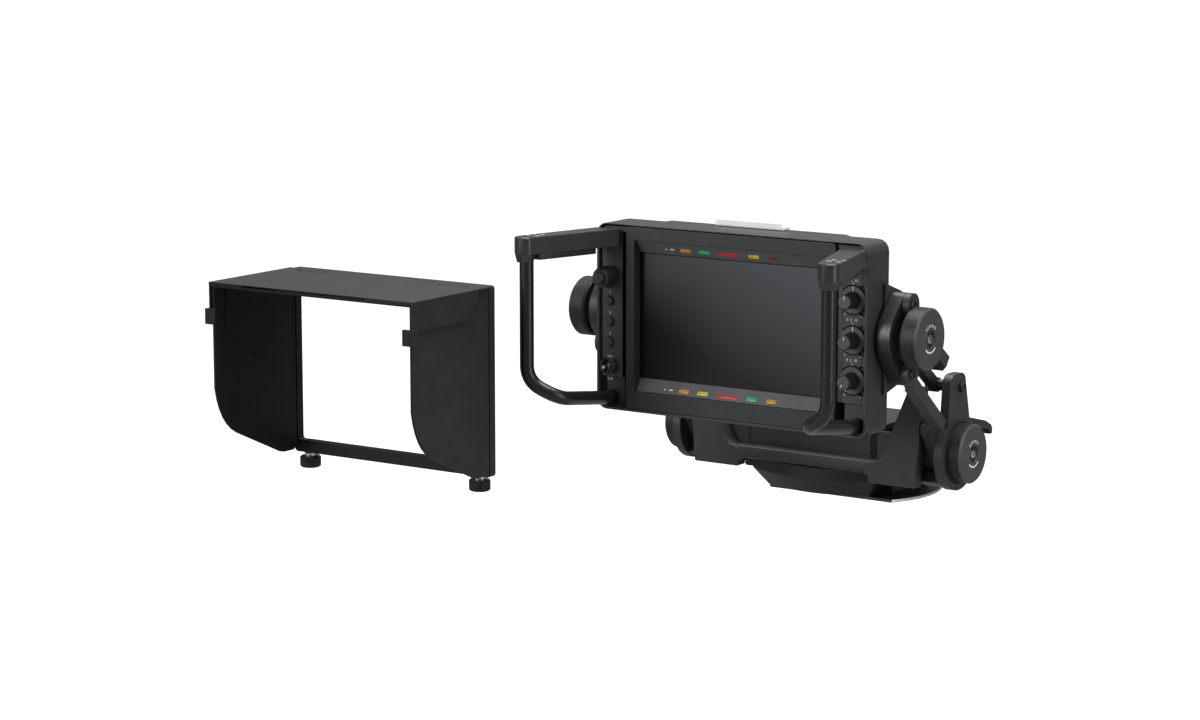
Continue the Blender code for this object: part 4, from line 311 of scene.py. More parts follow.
# Base casting and rear deck: a painted light-alloy casting with a bent sheet cover behind,
# held down by four low socket screws. The casting's front panel shows a joint line and a
# slot, and a small dark lug of the turntable stands out below it.
CASTING_EDGE = 0.0005
SCREW_RADIUS = 0.0026
SCREW_RISE = 0.0004
SCREW_STEPS = 24
SCREW_FACE = 0.86
SCREW_SHOULDER = 0.3
SOCKET_SHARE = 0.45
SOCKET_TAPER = 0.9
SOCKET_FLOOR = 0.1
DECK_SCREWS = ((-0.060, -0.046), (0.060, -0.046), (-0.090, 0.006), (0.090, 0.006))
PANEL_SEAM_X = -0.0556
PANEL_SLOT_X = 0.0592
PANEL_SLOT_WIDTH = 0.0058
PANEL_FACE_Y = -0.0605
PANEL_LOW_Z = 0.0385
PANEL_HIGH_Z = 0.0600
SEAM_WIDTH = 0.0007
LUG_FROM_X = -0.0690
LUG_TO_X = -0.0576
LUG_FRONT_Y = -0.0460
LUG_DEPTH = 0.0150
LUG_Z = 0.0215
LUG_HEIGHT = 0.0106
LUG_CORNER = 0.0020
LUG_EDGE = 0.0006
SKIN = 0.00012
SPIN_WELD = 0.000002


def piece(name, shape, look, body, smooth=32):
    """Finish a new mesh: normals outwards, its look and its body."""
    bmesh.ops.recalc_face_normals(shape, faces=shape.faces)
    mesh = bpy.data.meshes.new(name)
    shape.to_mesh(mesh)
    shape.free()
    mesh.materials.append(look)
    mesh.shade_smooth()
    mesh.set_sharp_from_angle(angle=math.radians(smooth))
    made = bpy.data.objects.new(name, mesh)
    scene.collection.objects.link(made)
    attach(made, body)
    return made


def facing_to(axis, centre):
    """Placement whose local Z looks right, left, front, back or up; local Y stays upwards."""
    turn = {
        "right": Matrix(((0, 0, 1), (1, 0, 0), (0, 1, 0))),
        "left": Matrix(((0, 0, -1), (-1, 0, 0), (0, 1, 0))),
        "front": Matrix(((1, 0, 0), (0, 0, -1), (0, 1, 0))),
        "back": Matrix(((-1, 0, 0), (0, 0, 1), (0, 1, 0))),
        "up": Matrix.Identity(3),
    }[axis]
    return Matrix.Translation(centre) @ turn.to_4x4()


def turned(angle):
    """A turn about the local Z."""
    return Matrix.Rotation(angle, 4, "Z")


def spin(shape, profile, steps, place, sweep=math.tau, begin=0.0, closed=False):
    """Turn a profile of (radius, height) points about Z and put it in its place."""
    old = set(shape.verts)
    corners = [shape.verts.new((radius, 0, height)) for radius, height in profile]
    pairs = list(zip(corners, corners[1:]))
    if closed:
        pairs.append((corners[-1], corners[0]))
    lines = [shape.edges.new(pair) for pair in pairs]
    whole = sweep >= math.tau
    if closed and not whole:
        lines.append(shape.faces.new(corners))
    bmesh.ops.spin(
        shape, geom=corners + lines, cent=(0, 0, 0), axis=(0, 0, 1), angle=sweep, steps=steps,
        use_merge=whole,
    )
    fresh = [vert for vert in shape.verts if vert not in old]
    bmesh.ops.remove_doubles(shape, verts=fresh, dist=SPIN_WELD)
    fresh = [vert for vert in shape.verts if vert not in old]
    bmesh.ops.transform(shape, matrix=place @ turned(begin), verts=fresh)
    return fresh


def pulled_up(shape, faces, rise):
    """Pull flat faces up into a plate; returns what the pull has made."""
    made = bmesh.ops.extrude_face_region(shape, geom=faces, use_keep_orig=True)["geom"]
    top = [item for item in made if isinstance(item, bmesh.types.BMVert)]
    bmesh.ops.translate(shape, vec=(0, 0, rise), verts=top)
    return made


def slab(shape, width, height, rise, place, corner=0.0, edge=0.0, steps=4, rounded=None):
    """A plate on its place's XY plane, with a softened front and its corners, or those
    that a test picks, rounded."""
    old = set(shape.verts)
    bmesh.ops.create_grid(shape, x_segments=1, y_segments=1, size=0.5)
    fresh = [vert for vert in shape.verts if vert not in old]
    bmesh.ops.scale(shape, vec=(width, height, 1), verts=fresh)
    if corner:
        picked = [vert for vert in fresh if rounded is None or rounded(vert.co)]
        bmesh.ops.bevel(
            shape, geom=picked, offset=corner, segments=steps, profile=0.5, affect="VERTICES",
            material=-1,
        )
    faces = [face for face in shape.faces if old.isdisjoint(face.verts)]
    made = pulled_up(shape, faces, rise)
    if edge:
        lid = [item for item in made if isinstance(item, bmesh.types.BMFace)]
        rim = list({line for face in lid for line in face.edges})
        bmesh.ops.bevel(
            shape, geom=rim, offset=edge, segments=2, profile=0.5, affect="EDGES", material=-1
        )
    fresh = [vert for vert in shape.verts if vert not in old]
    bmesh.ops.transform(shape, matrix=place, verts=fresh)


def cap_screw(shape, radius, place, socket=SOCKET_SHARE, rise=SCREW_RISE):
    """A low round screw head with a sunk socket."""
    well = radius * socket
    profile = [
        (0, rise * SOCKET_FLOOR),
        (well * SOCKET_TAPER, rise * SOCKET_FLOOR),
        (well, rise),
        (radius * SCREW_FACE, rise),
        (radius, rise * SCREW_SHOULDER),
        (radius, -rise),
        (0, -rise),
    ]
    spin(shape, profile, SCREW_STEPS, place)


base_look = grained(
    "casting_paint", (40, 41, 43), (46, 47, 49), (0.42, 0.58), fineness=1300.0, depth=0.00006
)
seam_look = grained("seam_shadow", (8, 8, 9), (12, 12, 13), (0.7, 0.8))
screw_look = grained("blackened_screw", (52, 52, 53), (70, 70, 71), (0.30, 0.45), metallic=0.6)
dress(["base_casting", "rear_deck"], base_look, CASTING_EDGE)
deck_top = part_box("rear_deck")[1][2]
shape = bmesh.new()
for across, along in DECK_SCREWS:
    cap_screw(shape, SCREW_RADIUS, facing_to("up", (across, along, deck_top)))
piece("deck_screws", shape, screw_look, "base")
shape = bmesh.new()
panel_middle = (PANEL_LOW_Z + PANEL_HIGH_Z) / 2
panel_height = PANEL_HIGH_Z - PANEL_LOW_Z
for across, width in ((PANEL_SEAM_X, SEAM_WIDTH), (PANEL_SLOT_X, PANEL_SLOT_WIDTH)):
    place = facing_to("front", (across, PANEL_FACE_Y, panel_middle))
    slab(shape, width, panel_height, SKIN, place, width / 4)
piece("base_panel_seams", shape, seam_look, "base")
shape = bmesh.new()
place = facing_to("front", ((LUG_FROM_X + LUG_TO_X) / 2, LUG_FRONT_Y + LUG_DEPTH, LUG_Z))
slab(shape, LUG_TO_X - LUG_FROM_X, LUG_HEIGHT, LUG_DEPTH, place, LUG_CORNER, LUG_EDGE)
piece("turntable_lug", shape, moulding_look, "base")

# Uprights: cast side plates with curved feet, painted a little lighter than the base. A
# blackened socket screw in the top of each is the fixed pivot of a rear link.
UPRIGHT_EDGE = 0.0006
PIVOT_Y = -0.039
LINK_PIVOT_Z = 0.0995
PIVOT_HEAD = 0.0042
PIVOT_SOCKET_SHARE = 0.6
PIVOT_RISE = 0.0009
linkage_look = grained(
    "linkage_paint", (46, 47, 49), (52, 53, 55), (0.40, 0.55), fineness=1500.0, depth=0.00005
)
dress(["upright_left", "upright_right"], linkage_look, UPRIGHT_EDGE)
dress(["link_pivot_left", "link_pivot_right"], screw_look)


def outer_x(label, node):
    """The X of a left or right node's outer side."""
    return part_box(node)[1 if label == "right" else 0][0]


for label in ("left", "right"):
    shape = bmesh.new()
    place = facing_to(label, (outer_x(label, "link_pivot_" + label), PIVOT_Y, LINK_PIVOT_Z))
    cap_screw(shape, PIVOT_HEAD, place, PIVOT_SOCKET_SHARE, PIVOT_RISE)
    piece("upright_screw_" + label, shape, screw_look, "base")

# Lift shaft and cross tube: the shaft is bright turned steel and runs through the base into
# both lower knobs. The blackened tube round it is pressed into both arm hubs.
bright_look = grained(
    "bright_steel", (205, 205, 202), (232, 232, 228), (0.18, 0.32), fineness=900.0, depth=0.00001,
    metallic=1.0,
)
dark_look = grained(
    "dark_tube", (44, 44, 46), (58, 58, 60), (0.35, 0.50), fineness=1200.0, depth=0.00002, metallic=0.4
)
dress(["lift_shaft"], bright_look)
dress(["cross_tube"], dark_look)

# Front arms and rear links: cranked flat bars, cast with eyes at both ends and sprayed with
# the same paint as the uprights.
BAR_EDGE = 0.0005
dress(["arm_left", "arm_right", "link_left", "link_right"], linkage_look, BAR_EDGE)

# Carriers: smooth egg-shaped friction housings of satin black moulding, in which the head
# tilts. Two low socket screws in each hold the arm's and the link's eyes.
CARRIER_EDGE = 0.0010
LOBE_SCREW_RADIUS = 0.0046
LOBE_SOCKET_SHARE = 0.5
LOBE_RISE = 0.0006
LOBE_SCREWS = ((-0.1510, 0.1275), (-0.1510, 0.1800))
satin_look = grained(
    "carrier_satin", (37, 38, 39), (43, 44, 45), (0.32, 0.42), fineness=700.0, depth=0.00001
)
dress(["carrier_left", "carrier_right"], satin_look, CARRIER_EDGE)
for label in ("left", "right"):
    face_x = outer_x(label, "carrier_" + label)
    shape = bmesh.new()
    for along, up in LOBE_SCREWS:
        place = facing_to(label, (face_x, along, up))
        cap_screw(shape, LOBE_SCREW_RADIUS, place, LOBE_SOCKET_SHARE, LOBE_RISE)
    piece("carrier_screws_" + label, shape, screw_look, "carriers")

# Trunnions: cast flange plates, screwed to the case's sides from within, with the stubs on
# which the head tilts.
TRUNNION_EDGE = 0.0004
dress(["trunnion_left", "trunnion_right"], linkage_look, TRUNNION_EDGE)

# Lock knobs: turned aluminium, black anodised, with a band of cut squares round the rim. The
# face has a white arc and ticks round a sunk ring, and a bright slotted screw in the shaft's
# end keeps the knob on.
KNOB_RADIUS = 0.02375
KNOB_RIM = 0.0015
KNOB_STEPS = 100
BAND_LOW = 0.0020
BAND_HIGH = 0.0122
BAND_ROWS = 7
BAND_DEPTH = 0.00040
SQUARE_EDGE = 0.00022
RING_OUTER = 0.0068
RING_INNER = 0.0038
RING_DEPTH = 0.0010
RING_STEPS = 48
RING_WAVE = (
    (RING_OUTER, RING_DEPTH * 2),
    (RING_OUTER, RING_DEPTH * 0.9),
    (RING_OUTER * 0.86, RING_DEPTH * 0.5),
    (RING_OUTER * 0.76, RING_DEPTH * 1.1),
    (RING_INNER * 1.15, RING_DEPTH * 0.6),
    (RING_INNER, RING_DEPTH * 1.2),
    (RING_INNER, RING_DEPTH * 2),
)
HEAD_RADIUS = 0.0033
HEAD_DOME = ((0, 1), (0.6, 0.93), (0.92, 0.6), (1, 0))
HEAD_SINK = 0.0006
HEAD_RISE = 0.0005
HEAD_SLOT = 0.0008
HEAD_TURN = 0.6
HEAD_STEPS = 36
ARC_INNER = 0.0097
ARC_OUTER = 0.0109
ARC_HALF = math.radians(46)
ARC_STEP = math.radians(4)
TICK_INNER = 0.0092
TICK_OUTER = 0.0113
TICK_WIDTH = math.radians(5.0)
TICK_ANGLES = (48, 62, 76, 90, 104, 118, 132)
MARK = 0.00006


def arc_mark(shape, inner, outer, start, sweep, place):
    """A thin printed band along an arc about the place's origin."""
    profile = [(inner, 0), (outer, 0), (outer, MARK), (inner, MARK)]
    spin(shape, profile, max(2, round(sweep / ARC_STEP)), place, sweep, start, True)


def slotted_head(shape, radius, rise, slot, place):
    """A domed screw head in two halves, with the slot between them."""
    for turn in (0, math.pi):
        half = bmesh.new()
        profile = [(radius * out, rise * up) for out, up in HEAD_DOME]
        spin(half, profile, HEAD_STEPS, Matrix.Identity(4))
        bmesh.ops.bisect_plane(
            half, geom=half.verts[:] + half.edges[:] + half.faces[:], plane_co=(slot / 2, 0, 0),
            plane_no=(1, 0, 0), clear_inner=True,
        )
        bmesh.ops.holes_fill(half, edges=[line for line in half.edges if line.is_boundary])
        bmesh.ops.transform(half, matrix=place @ turned(turn), verts=half.verts)
        mesh = bpy.data.meshes.new("half_head")
        half.to_mesh(mesh)
        half.free()
        shape.from_mesh(mesh)
        bpy.data.meshes.remove(mesh)


def band_faces(shape, radius, low, high):
    """The faces of a turned shape beyond a radius and between two heights."""
    faces = []
    for face in shape.faces:
        centre = face.calc_center_median()
        if centre.xy.length > radius and low < centre.z < high:
            faces.append(face)
    return faces


knob_look = grained(
    "knob_anodised", (68, 69, 72), (76, 77, 80), (0.38, 0.50), fineness=2400.0, metallic=0.15
)
rim_look = grained("knob_band", (42, 43, 45), (49, 50, 52), (0.40, 0.55), fineness=2400.0)
# The walls of the cut squares are painted near black as the shade in the grooves.
groove_shade_look = grained(
    "knob_groove_shade", (10, 10, 10), (16, 16, 16), (0.60, 0.70), fineness=2400.0, depth=0.00002
)
ring_look = grained(
    "knob_ring", (22, 22, 23), (34, 34, 35), (0.30, 0.45), fineness=2400.0, depth=0.00002
)
print_look = grained(
    "white_print", (226, 226, 224), (240, 240, 238), (0.55, 0.70), fineness=3000.0, depth=0.00001
)
for level, head_body in (("lower", "base"), ("upper", "head")):
    for label in ("left", "right"):
        node = level + "_knob_" + label
        body = node + "_body"
        low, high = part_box(node)
        back = low[0] if label == "right" else high[0]
        depth = high[0] - low[0]
        place = facing_to(label, (back, (low[1] + high[1]) / 2, (low[2] + high[2]) / 2))
        root = KNOB_RADIUS - BAND_DEPTH
        band = [BAND_HIGH + (BAND_LOW - BAND_HIGH) * row / BAND_ROWS for row in range(BAND_ROWS + 1)]
        profile = [
            (RING_OUTER, depth - RING_DEPTH),
            (RING_OUTER, depth - SKIN * 2),
            (RING_OUTER + SKIN, depth),
            (KNOB_RADIUS - KNOB_RIM, depth),
            (KNOB_RADIUS, depth - KNOB_RIM),
            (KNOB_RADIUS, BAND_HIGH + SKIN * 3),
            (root, BAND_HIGH + SKIN),
            *((root, height) for height in band),
            (root, BAND_LOW - SKIN),
            (KNOB_RADIUS, BAND_LOW - SKIN * 3),
            (KNOB_RADIUS, KNOB_RIM),
            (KNOB_RADIUS - KNOB_RIM, 0),
            (RING_OUTER, 0),
        ]
        shape = bmesh.new()
        spin(shape, profile, KNOB_STEPS, Matrix.Identity(4), closed=True)
        squares = band_faces(shape, root - SKIN * 2, BAND_LOW, BAND_HIGH)
        bmesh.ops.recalc_face_normals(shape, faces=shape.faces)
        grooves = bmesh.ops.inset_individual(
            shape, faces=squares, thickness=SQUARE_EDGE, depth=BAND_DEPTH
        )["faces"]
        for face in grooves:
            face.material_index = 2
        bmesh.ops.transform(shape, matrix=place, verts=shape.verts)
        knob = piece(node + "_turned", shape, knob_look, body)
        knob.data.materials.append(rim_look)
        knob.data.materials.append(groove_shade_look)
        for face in knob.data.polygons:
            if abs(face.center[0] - back) < BAND_HIGH + SKIN * 4 and not face.material_index:
                face.material_index = 1
        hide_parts(node)
        shape = bmesh.new()
        profile = [(radius, depth - drop) for radius, drop in RING_WAVE]
        spin(shape, profile, RING_STEPS, place, closed=True)
        piece(node + "_ring", shape, ring_look, body, smooth=60)
        shape = bmesh.new()
        face_place = place @ Matrix.Translation((0, 0, depth))
        arc_mark(shape, ARC_INNER, ARC_OUTER, -math.pi / 2 - ARC_HALF, ARC_HALF * 2, face_place)
        for angle in TICK_ANGLES:
            start = math.radians(angle) - TICK_WIDTH / 2
            arc_mark(shape, TICK_INNER, TICK_OUTER, start, TICK_WIDTH, face_place)
        piece(node + "_marks", shape, print_look, body)
        shape = bmesh.new()
        head_place = place @ Matrix.Translation((0, 0, depth - HEAD_SINK + SKIN / 4))
        slotted_head(shape, HEAD_RADIUS, HEAD_RISE, HEAD_SLOT, head_place @ turned(HEAD_TURN))
        piece(node + "_screw", shape, bright_look, head_body)

# Case: two cast shells in the same grained paint, joined by four screws from behind. The
# socket in the rear shell takes the cable.
CASE_EDGE = 0.0007
SOCKET_EDGE = 0.0003
CASE_BACK_Y = -0.1530
CASE_SCREWS = ((-0.108, 0.100), (0.108, 0.100), (-0.108, 0.212), (0.108, 0.212))
case_look = grained(
    "case_paint", (43, 44, 47), (49, 50, 53), (0.42, 0.58), fineness=1500.0, depth=0.00006
)
dress(["case_front", "case_rear"], case_look, CASE_EDGE)
dress(["rear_socket"], screw_look, SOCKET_EDGE)
shape = bmesh.new()
for across, up in CASE_SCREWS:
    cap_screw(shape, SCREW_RADIUS, facing_to("back", (across, CASE_BACK_Y, up)))
piece("case_screws", shape, screw_look, "head")

# Bezel and tally strips: a textured moulded frame round the screen, and above and below the
# screen a sloping strip with five small lamp windows. Three printed dashes stand beside them.
BEZEL_EDGE = 0.0005
LAMP_HEIGHT = 0.0032
LAMP_RISE = 0.00025
LAMP_CORNER = 0.0005
LAMP_EDGE = 0.0001
LAMP_GLOW = 0.35
LAMP_DIM = 0.72
STRIP_DEEP_Y = -0.1786
STRIP_LIP_Y = -0.1845
UPPER_Z = (0.2070, 0.2165)
LOWER_Z = (0.1070, 0.0974)
UPPER_SHARE = 0.43
LOWER_SHARE = 0.68
LAMP_SPANS = (
    (-0.0471, -0.0380), (-0.0302, -0.0207), (-0.0128, 0.0063), (0.0144, 0.0237), (0.0322, 0.0410),
)
ORANGE = (176, 112, 34)
GREEN = (22, 150, 92)
RED = (158, 34, 40)
YELLOW = (176, 160, 52)
DIM_RED = (88, 28, 32)
OCHRE = (172, 126, 38)
UPPER_LAMPS = (ORANGE, GREEN, RED, YELLOW, DIM_RED)
LOWER_LAMPS = (ORANGE, YELLOW, RED, GREEN, OCHRE)
DASHES = ((-0.0602, 0.0012), (-0.0556, 0.0016), (-0.053648, 0.0016))
DASH_HEIGHT = 0.0010
bezel_look = grained(
    "bezel_texture", (33, 34, 35), (39, 40, 41), (0.48, 0.62), fineness=1500.0, depth=0.00007
)
strip_look = grained(
    "tally_strip", (70, 71, 74), (80, 81, 84), (0.40, 0.52), fineness=1500.0, depth=0.00005
)
dress(["bezel"], bezel_look, BEZEL_EDGE)
dress(["tally_strip_upper", "tally_strip_lower"], strip_look)
lamp_looks = {}
for colour in UPPER_LAMPS + LOWER_LAMPS:
    if colour in lamp_looks:
        continue
    dim = tuple(round(part * LAMP_DIM) for part in colour)
    name = "tally_%02x%02x%02x" % colour
    look = grained(name, dim, colour, (0.25, 0.35), fineness=900.0, depth=0.00001, drift=260.0)
    glow = look.node_tree.nodes["Principled BSDF"]
    glow.inputs["Emission Color"].default_value = linear(*colour)
    glow.inputs["Emission Strength"].default_value = LAMP_GLOW
    lamp_looks[colour] = look
rows = (("upper", UPPER_Z, UPPER_SHARE, UPPER_LAMPS), ("lower", LOWER_Z, LOWER_SHARE, LOWER_LAMPS))
for level, (deep_z, lip_z), share, colours in rows:
    deep = Vector((0, STRIP_DEEP_Y, deep_z))
    lip = Vector((0, STRIP_LIP_Y, lip_z))
    slope = (lip - deep).normalized()
    if level == "lower":
        slope = -slope
    sideways = Vector((1, 0, 0))
    axes = Matrix((sideways, slope, sideways.cross(slope))).transposed().to_4x4()
    centre = deep.lerp(lip, share)
    for number, ((start, stop), colour) in enumerate(zip(LAMP_SPANS, colours)):
        place = Matrix.Translation(centre + sideways * (start + stop) / 2) @ axes
        shape = bmesh.new()
        slab(shape, stop - start, LAMP_HEIGHT, LAMP_RISE, place, LAMP_CORNER, LAMP_EDGE)
        piece("tally_%s_%d" % (level, number + 1), shape, lamp_looks[colour], "head")
    shape = bmesh.new()
    for across, width in DASHES:
        place = Matrix.Translation(centre + sideways * across) @ axes
        slab(shape, width, DASH_HEIGHT, MARK, place)
    piece("tally_mark_" + level, shape, print_look, "head")

# Screen: dark gloss glass over the panel, held by the bezel. The unlit picture area carries a
# painted reflection, a little lighter to the upper right, and a black border runs round it.
# The panel and the inner frame behind it are plated sheet, and the boards are green.
PICTURE_HALF = 0.08195
PICTURE_TALL = 0.0488
PICTURE_MIDDLE = 0.1570
PICTURE_LEAN = 0.45
PICTURE_FROM = 0.25
PICTURE_DARK = (14, 15, 15)
PICTURE_REFLECTION = (80, 82, 86)
SCREEN_SHINE = 0.3
screen_look = grained(
    "screen_glass", (10, 10, 11), (12, 12, 13), (0.30, 0.34), fineness=400.0, depth=0.000002
)
tree = screen_look.node_tree
tree.nodes["Principled BSDF"].inputs["Specular IOR Level"].default_value = SCREEN_SHINE
# The picture area's lighter upper right is a painted reflection on the glass.
axes = axes_of(tree, "Object", (0, 0, -PICTURE_MIDDLE))
lean = worked(tree, "MULTIPLY_ADD", axes["X"], PICTURE_LEAN, axes["Z"])
reflection_share = spread_between(tree, lean, 0, 1, -PICTURE_HALF, PICTURE_HALF)
painted_reflection = ramp_between(tree, reflection_share, PICTURE_DARK, PICTURE_REFLECTION, PICTURE_FROM, 1)
inside_x = worked(tree, "LESS_THAN", worked(tree, "ABSOLUTE", axes["X"]), PICTURE_HALF)
inside_z = worked(tree, "LESS_THAN", worked(tree, "ABSOLUTE", axes["Z"]), PICTURE_TALL)
masked(screen_look, worked(tree, "MULTIPLY", inside_x, inside_z), painted_reflection)
dress(["screen_window"], screen_look)
metal_look = grained(
    "plated_sheet", (176, 176, 174), (196, 196, 194), (0.32, 0.46), fineness=1200.0, depth=0.00001,
    metallic=1.0,
)
board_look = grained(
    "solder_mask", (15, 56, 32), (21, 68, 40), (0.35, 0.50), fineness=1200.0, depth=0.00002
)
dress(["display_panel", "inner_frame"], metal_look)
dress(["circuit_board", "control_board_left", "control_board_right"], board_look)

# Control strips: textured moulded plates each side of the screen, pressed into the front
# case. Dots and numbers are printed on the right one, whose edge trim ends in a joint line,
# and a flush corner piece closes the case above each.
KNOB_X = 0.1078
KNOB_ROWS = (0.1855, 0.1548, 0.1241)
STRIP_FACE_Y = -0.1840
STRIP_EDGE = 0.0003
DOT_RADIUS = 0.00042
DOT_STEPS = 12
DOTS = ((0, 0.0127), (-0.0067, -0.0112), (0.0070, -0.0122))
TRIM_X = 0.0078
TRIM_WIDTH = 0.0006
TRIM_FROM = 0.0943
TRIM_DEPTH = 0.0016
TRIM_EDGE = 0.0003
NOTCH_HALF = 0.0116
WELL_FROM = 0.0005
WELL_SHADE = (9, 9, 9)
CORNER_TO = 0.1185
CORNER_TOP = 0.2264
CORNER_ROUND = 0.0037
CORNER_STEPS = 5
LABEL_SIZE = 0.0030
LABEL_SHIFT = -0.0006
LABEL_RISES = (0.0147, 0.0154, 0.0154)
SIDES = ((1, "right"), (-1, "left"))


def solid_of(curve, weld):
    """The mesh of a text or a tube along a route, as a new shape; the curve goes."""
    guide = bpy.data.objects.new(curve.name + "_guide", curve)
    scene.collection.objects.link(guide)
    bpy.context.view_layer.update()
    mesh = bpy.data.meshes.new_from_object(guide.evaluated_get(bpy.context.evaluated_depsgraph_get()))
    bpy.data.objects.remove(guide, do_unlink=True)
    bpy.data.curves.remove(curve)
    shape = bmesh.new()
    shape.from_mesh(mesh)
    bpy.data.meshes.remove(mesh)
    bmesh.ops.remove_doubles(shape, verts=shape.verts, dist=weld)
    return shape


def lettering(name, words, place):
    """A printed number or switch word on the head, as a thin mesh."""
    curve = bpy.data.curves.new(name, "FONT")
    curve.body = words
    curve.size = LABEL_SIZE
    curve.align_x = "CENTER"
    curve.align_y = "CENTER"
    curve.resolution_u = 2
    curve.extrude = MARK / 2
    shape = solid_of(curve, SPIN_WELD)
    bmesh.ops.transform(shape, matrix=place @ Matrix.Translation((0, 0, MARK / 2)), verts=shape.verts)
    piece(name, shape, print_look, "head")


strip_paint = grained(
    "strip_texture", (52, 53, 55), (62, 63, 65), (0.50, 0.64), fineness=1300.0, depth=0.00009
)
# Faces sunk behind the strip's front, the wells and notches round the knobs, are painted near black as
# shade.
tree = strip_paint.node_tree
well = worked(tree, "GREATER_THAN", axes_of(tree, "Object")["Y"], STRIP_FACE_Y + WELL_FROM)
masked(strip_paint, well, WELL_SHADE)
dress(["control_strip_left", "control_strip_right"], strip_paint, STRIP_EDGE)
back_y = STRIP_FACE_Y + TRIM_DEPTH
for side, label in SIDES:
    low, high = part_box("control_strip_" + label)
    shape = bmesh.new()
    if side == 1:
        place = facing_to("front", ((TRIM_FROM + low[0]) / 2 - SKIN, back_y, (low[2] + high[2]) / 2))
        slab(shape, low[0] - TRIM_FROM, high[2] - low[2], TRIM_DEPTH, place, edge=TRIM_EDGE)
    height = CORNER_TOP - high[2] - SKIN
    place = facing_to("front", (side * (TRIM_FROM + CORNER_TO) / 2, back_y, CORNER_TOP - height / 2))
    slab(
        shape, CORNER_TO - TRIM_FROM, height, TRIM_DEPTH, place, CORNER_ROUND, steps=CORNER_STEPS,
        rounded=lambda spot: spot.x * side > 0 and spot.y > 0,
    )
    piece("strip_surround_" + label, shape, strip_paint, "head")
shape = bmesh.new()
for row in KNOB_ROWS:
    for across, up in DOTS:
        place = facing_to("front", (KNOB_X + across, STRIP_FACE_Y, row + up))
        spin(shape, [(0, MARK), (DOT_RADIUS, MARK), (DOT_RADIUS, 0), (0, 0)], DOT_STEPS, place)
piece("control_dots", shape, print_look, "head")
strip_low, strip_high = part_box("control_strip_right")
edges = [strip_high[2]]
for row in KNOB_ROWS:
    edges += [row + NOTCH_HALF, row - NOTCH_HALF]
edges.append(strip_low[2])
shape = bmesh.new()
for top, bottom in zip(edges[::2], edges[1::2]):
    place = facing_to("front", (KNOB_X + TRIM_X, STRIP_FACE_Y, (top + bottom) / 2))
    slab(shape, TRIM_WIDTH, top - bottom, MARK, place)
piece("strip_trim_line", shape, seam_look, "head")
for number, (row, rise) in enumerate(zip(KNOB_ROWS, LABEL_RISES)):
    place = facing_to("front", (KNOB_X + LABEL_SHIFT, STRIP_FACE_Y, row + rise))
    lettering("knob_scale_%d" % (number + 1), "0  5  10", place)

# Control knobs: moulded discs with fluted, tapered caps, pressed on their shafts and turned
# here with the shorter cap of the photograph. A white line on the disc and one on the cap's
# end show the setting.
KNOB_ANGLES = (90, 90, 236)
DISC_LINE = (0.0069, 0.0103)
CAP_LINE = (0.0016, 0.0044)
LINE_WIDTH = 0.00055
DISC_FACE_Y = -0.1845
CAP_FACE_Y = -0.1980
CAP_RADIUS = 0.0056
CAP_FOOT = 0.0062
CAP_ROUND = 0.0006
CAP_STEPS = 72
FLUTE_STEPS = 3
FLUTE_SHARE = 0.94
DISC_RADIUS = 0.0107
DISC_THICK = 0.0022
STEM_RADIUS = 0.0030
FRONT_FACING = -0.8
SIDE_SHADE = (20, 20, 20)
control_look = grained(
    "control_knob", (65, 66, 68), (74, 75, 77), (0.42, 0.55), fineness=1900.0, depth=0.00004
)
# Faces that look sideways are painted dark as shade; only faces towards the front keep the knob's grey.
tree = control_look.node_tree
shaded_sides = worked(tree, "GREATER_THAN", axes_of(tree, "Normal")["Y"], FRONT_FACING)
masked(control_look, shaded_sides, SIDE_SHADE)
for number, (row, angle) in enumerate(zip(KNOB_ROWS, KNOB_ANGLES)):
    node = "control_knob_%d" % (number + 1)
    body = node + "_body"
    stem_end = DISC_FACE_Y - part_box(node)[1][1]
    rise = DISC_FACE_Y - CAP_FACE_Y
    profile = [
        (0, rise),
        (CAP_RADIUS - CAP_ROUND, rise),
        (CAP_RADIUS, rise - CAP_ROUND),
        (CAP_FOOT, CAP_ROUND),
        (CAP_FOOT + CAP_ROUND, 0),
        (DISC_RADIUS - CAP_ROUND / 2, 0),
        (DISC_RADIUS, -CAP_ROUND / 2),
        (DISC_RADIUS, -DISC_THICK),
        (STEM_RADIUS, -DISC_THICK),
        (STEM_RADIUS, stem_end),
        (0, stem_end),
    ]
    shape = bmesh.new()
    for vert in spin(shape, profile, CAP_STEPS, Matrix.Identity(4)):
        turn = round(math.atan2(vert.co.y, vert.co.x) / math.tau * CAP_STEPS)
        on_cap = CAP_RADIUS - SKIN / 2 < vert.co.xy.length < CAP_FOOT + SKIN / 2 and vert.co.z > 0
        if on_cap and turn % FLUTE_STEPS == 0:
            vert.co.xy *= FLUTE_SHARE
    place = facing_to("front", (KNOB_X, DISC_FACE_Y, row))
    bmesh.ops.transform(shape, matrix=place, verts=shape.verts)
    knob = piece(node + "_fluted", shape, control_look, body, smooth=25)
    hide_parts(node)
    shape = bmesh.new()
    for (inner, outer), face_y in ((DISC_LINE, DISC_FACE_Y), (CAP_LINE, CAP_FACE_Y)):
        place = facing_to("front", (KNOB_X, face_y, row)) @ turned(math.radians(angle))
        place = place @ Matrix.Translation(((inner + outer) / 2, 0, 0))
        slab(shape, outer - inner, LINE_WIDTH, MARK, place)
    piece(node + "_lines", shape, print_look, body)

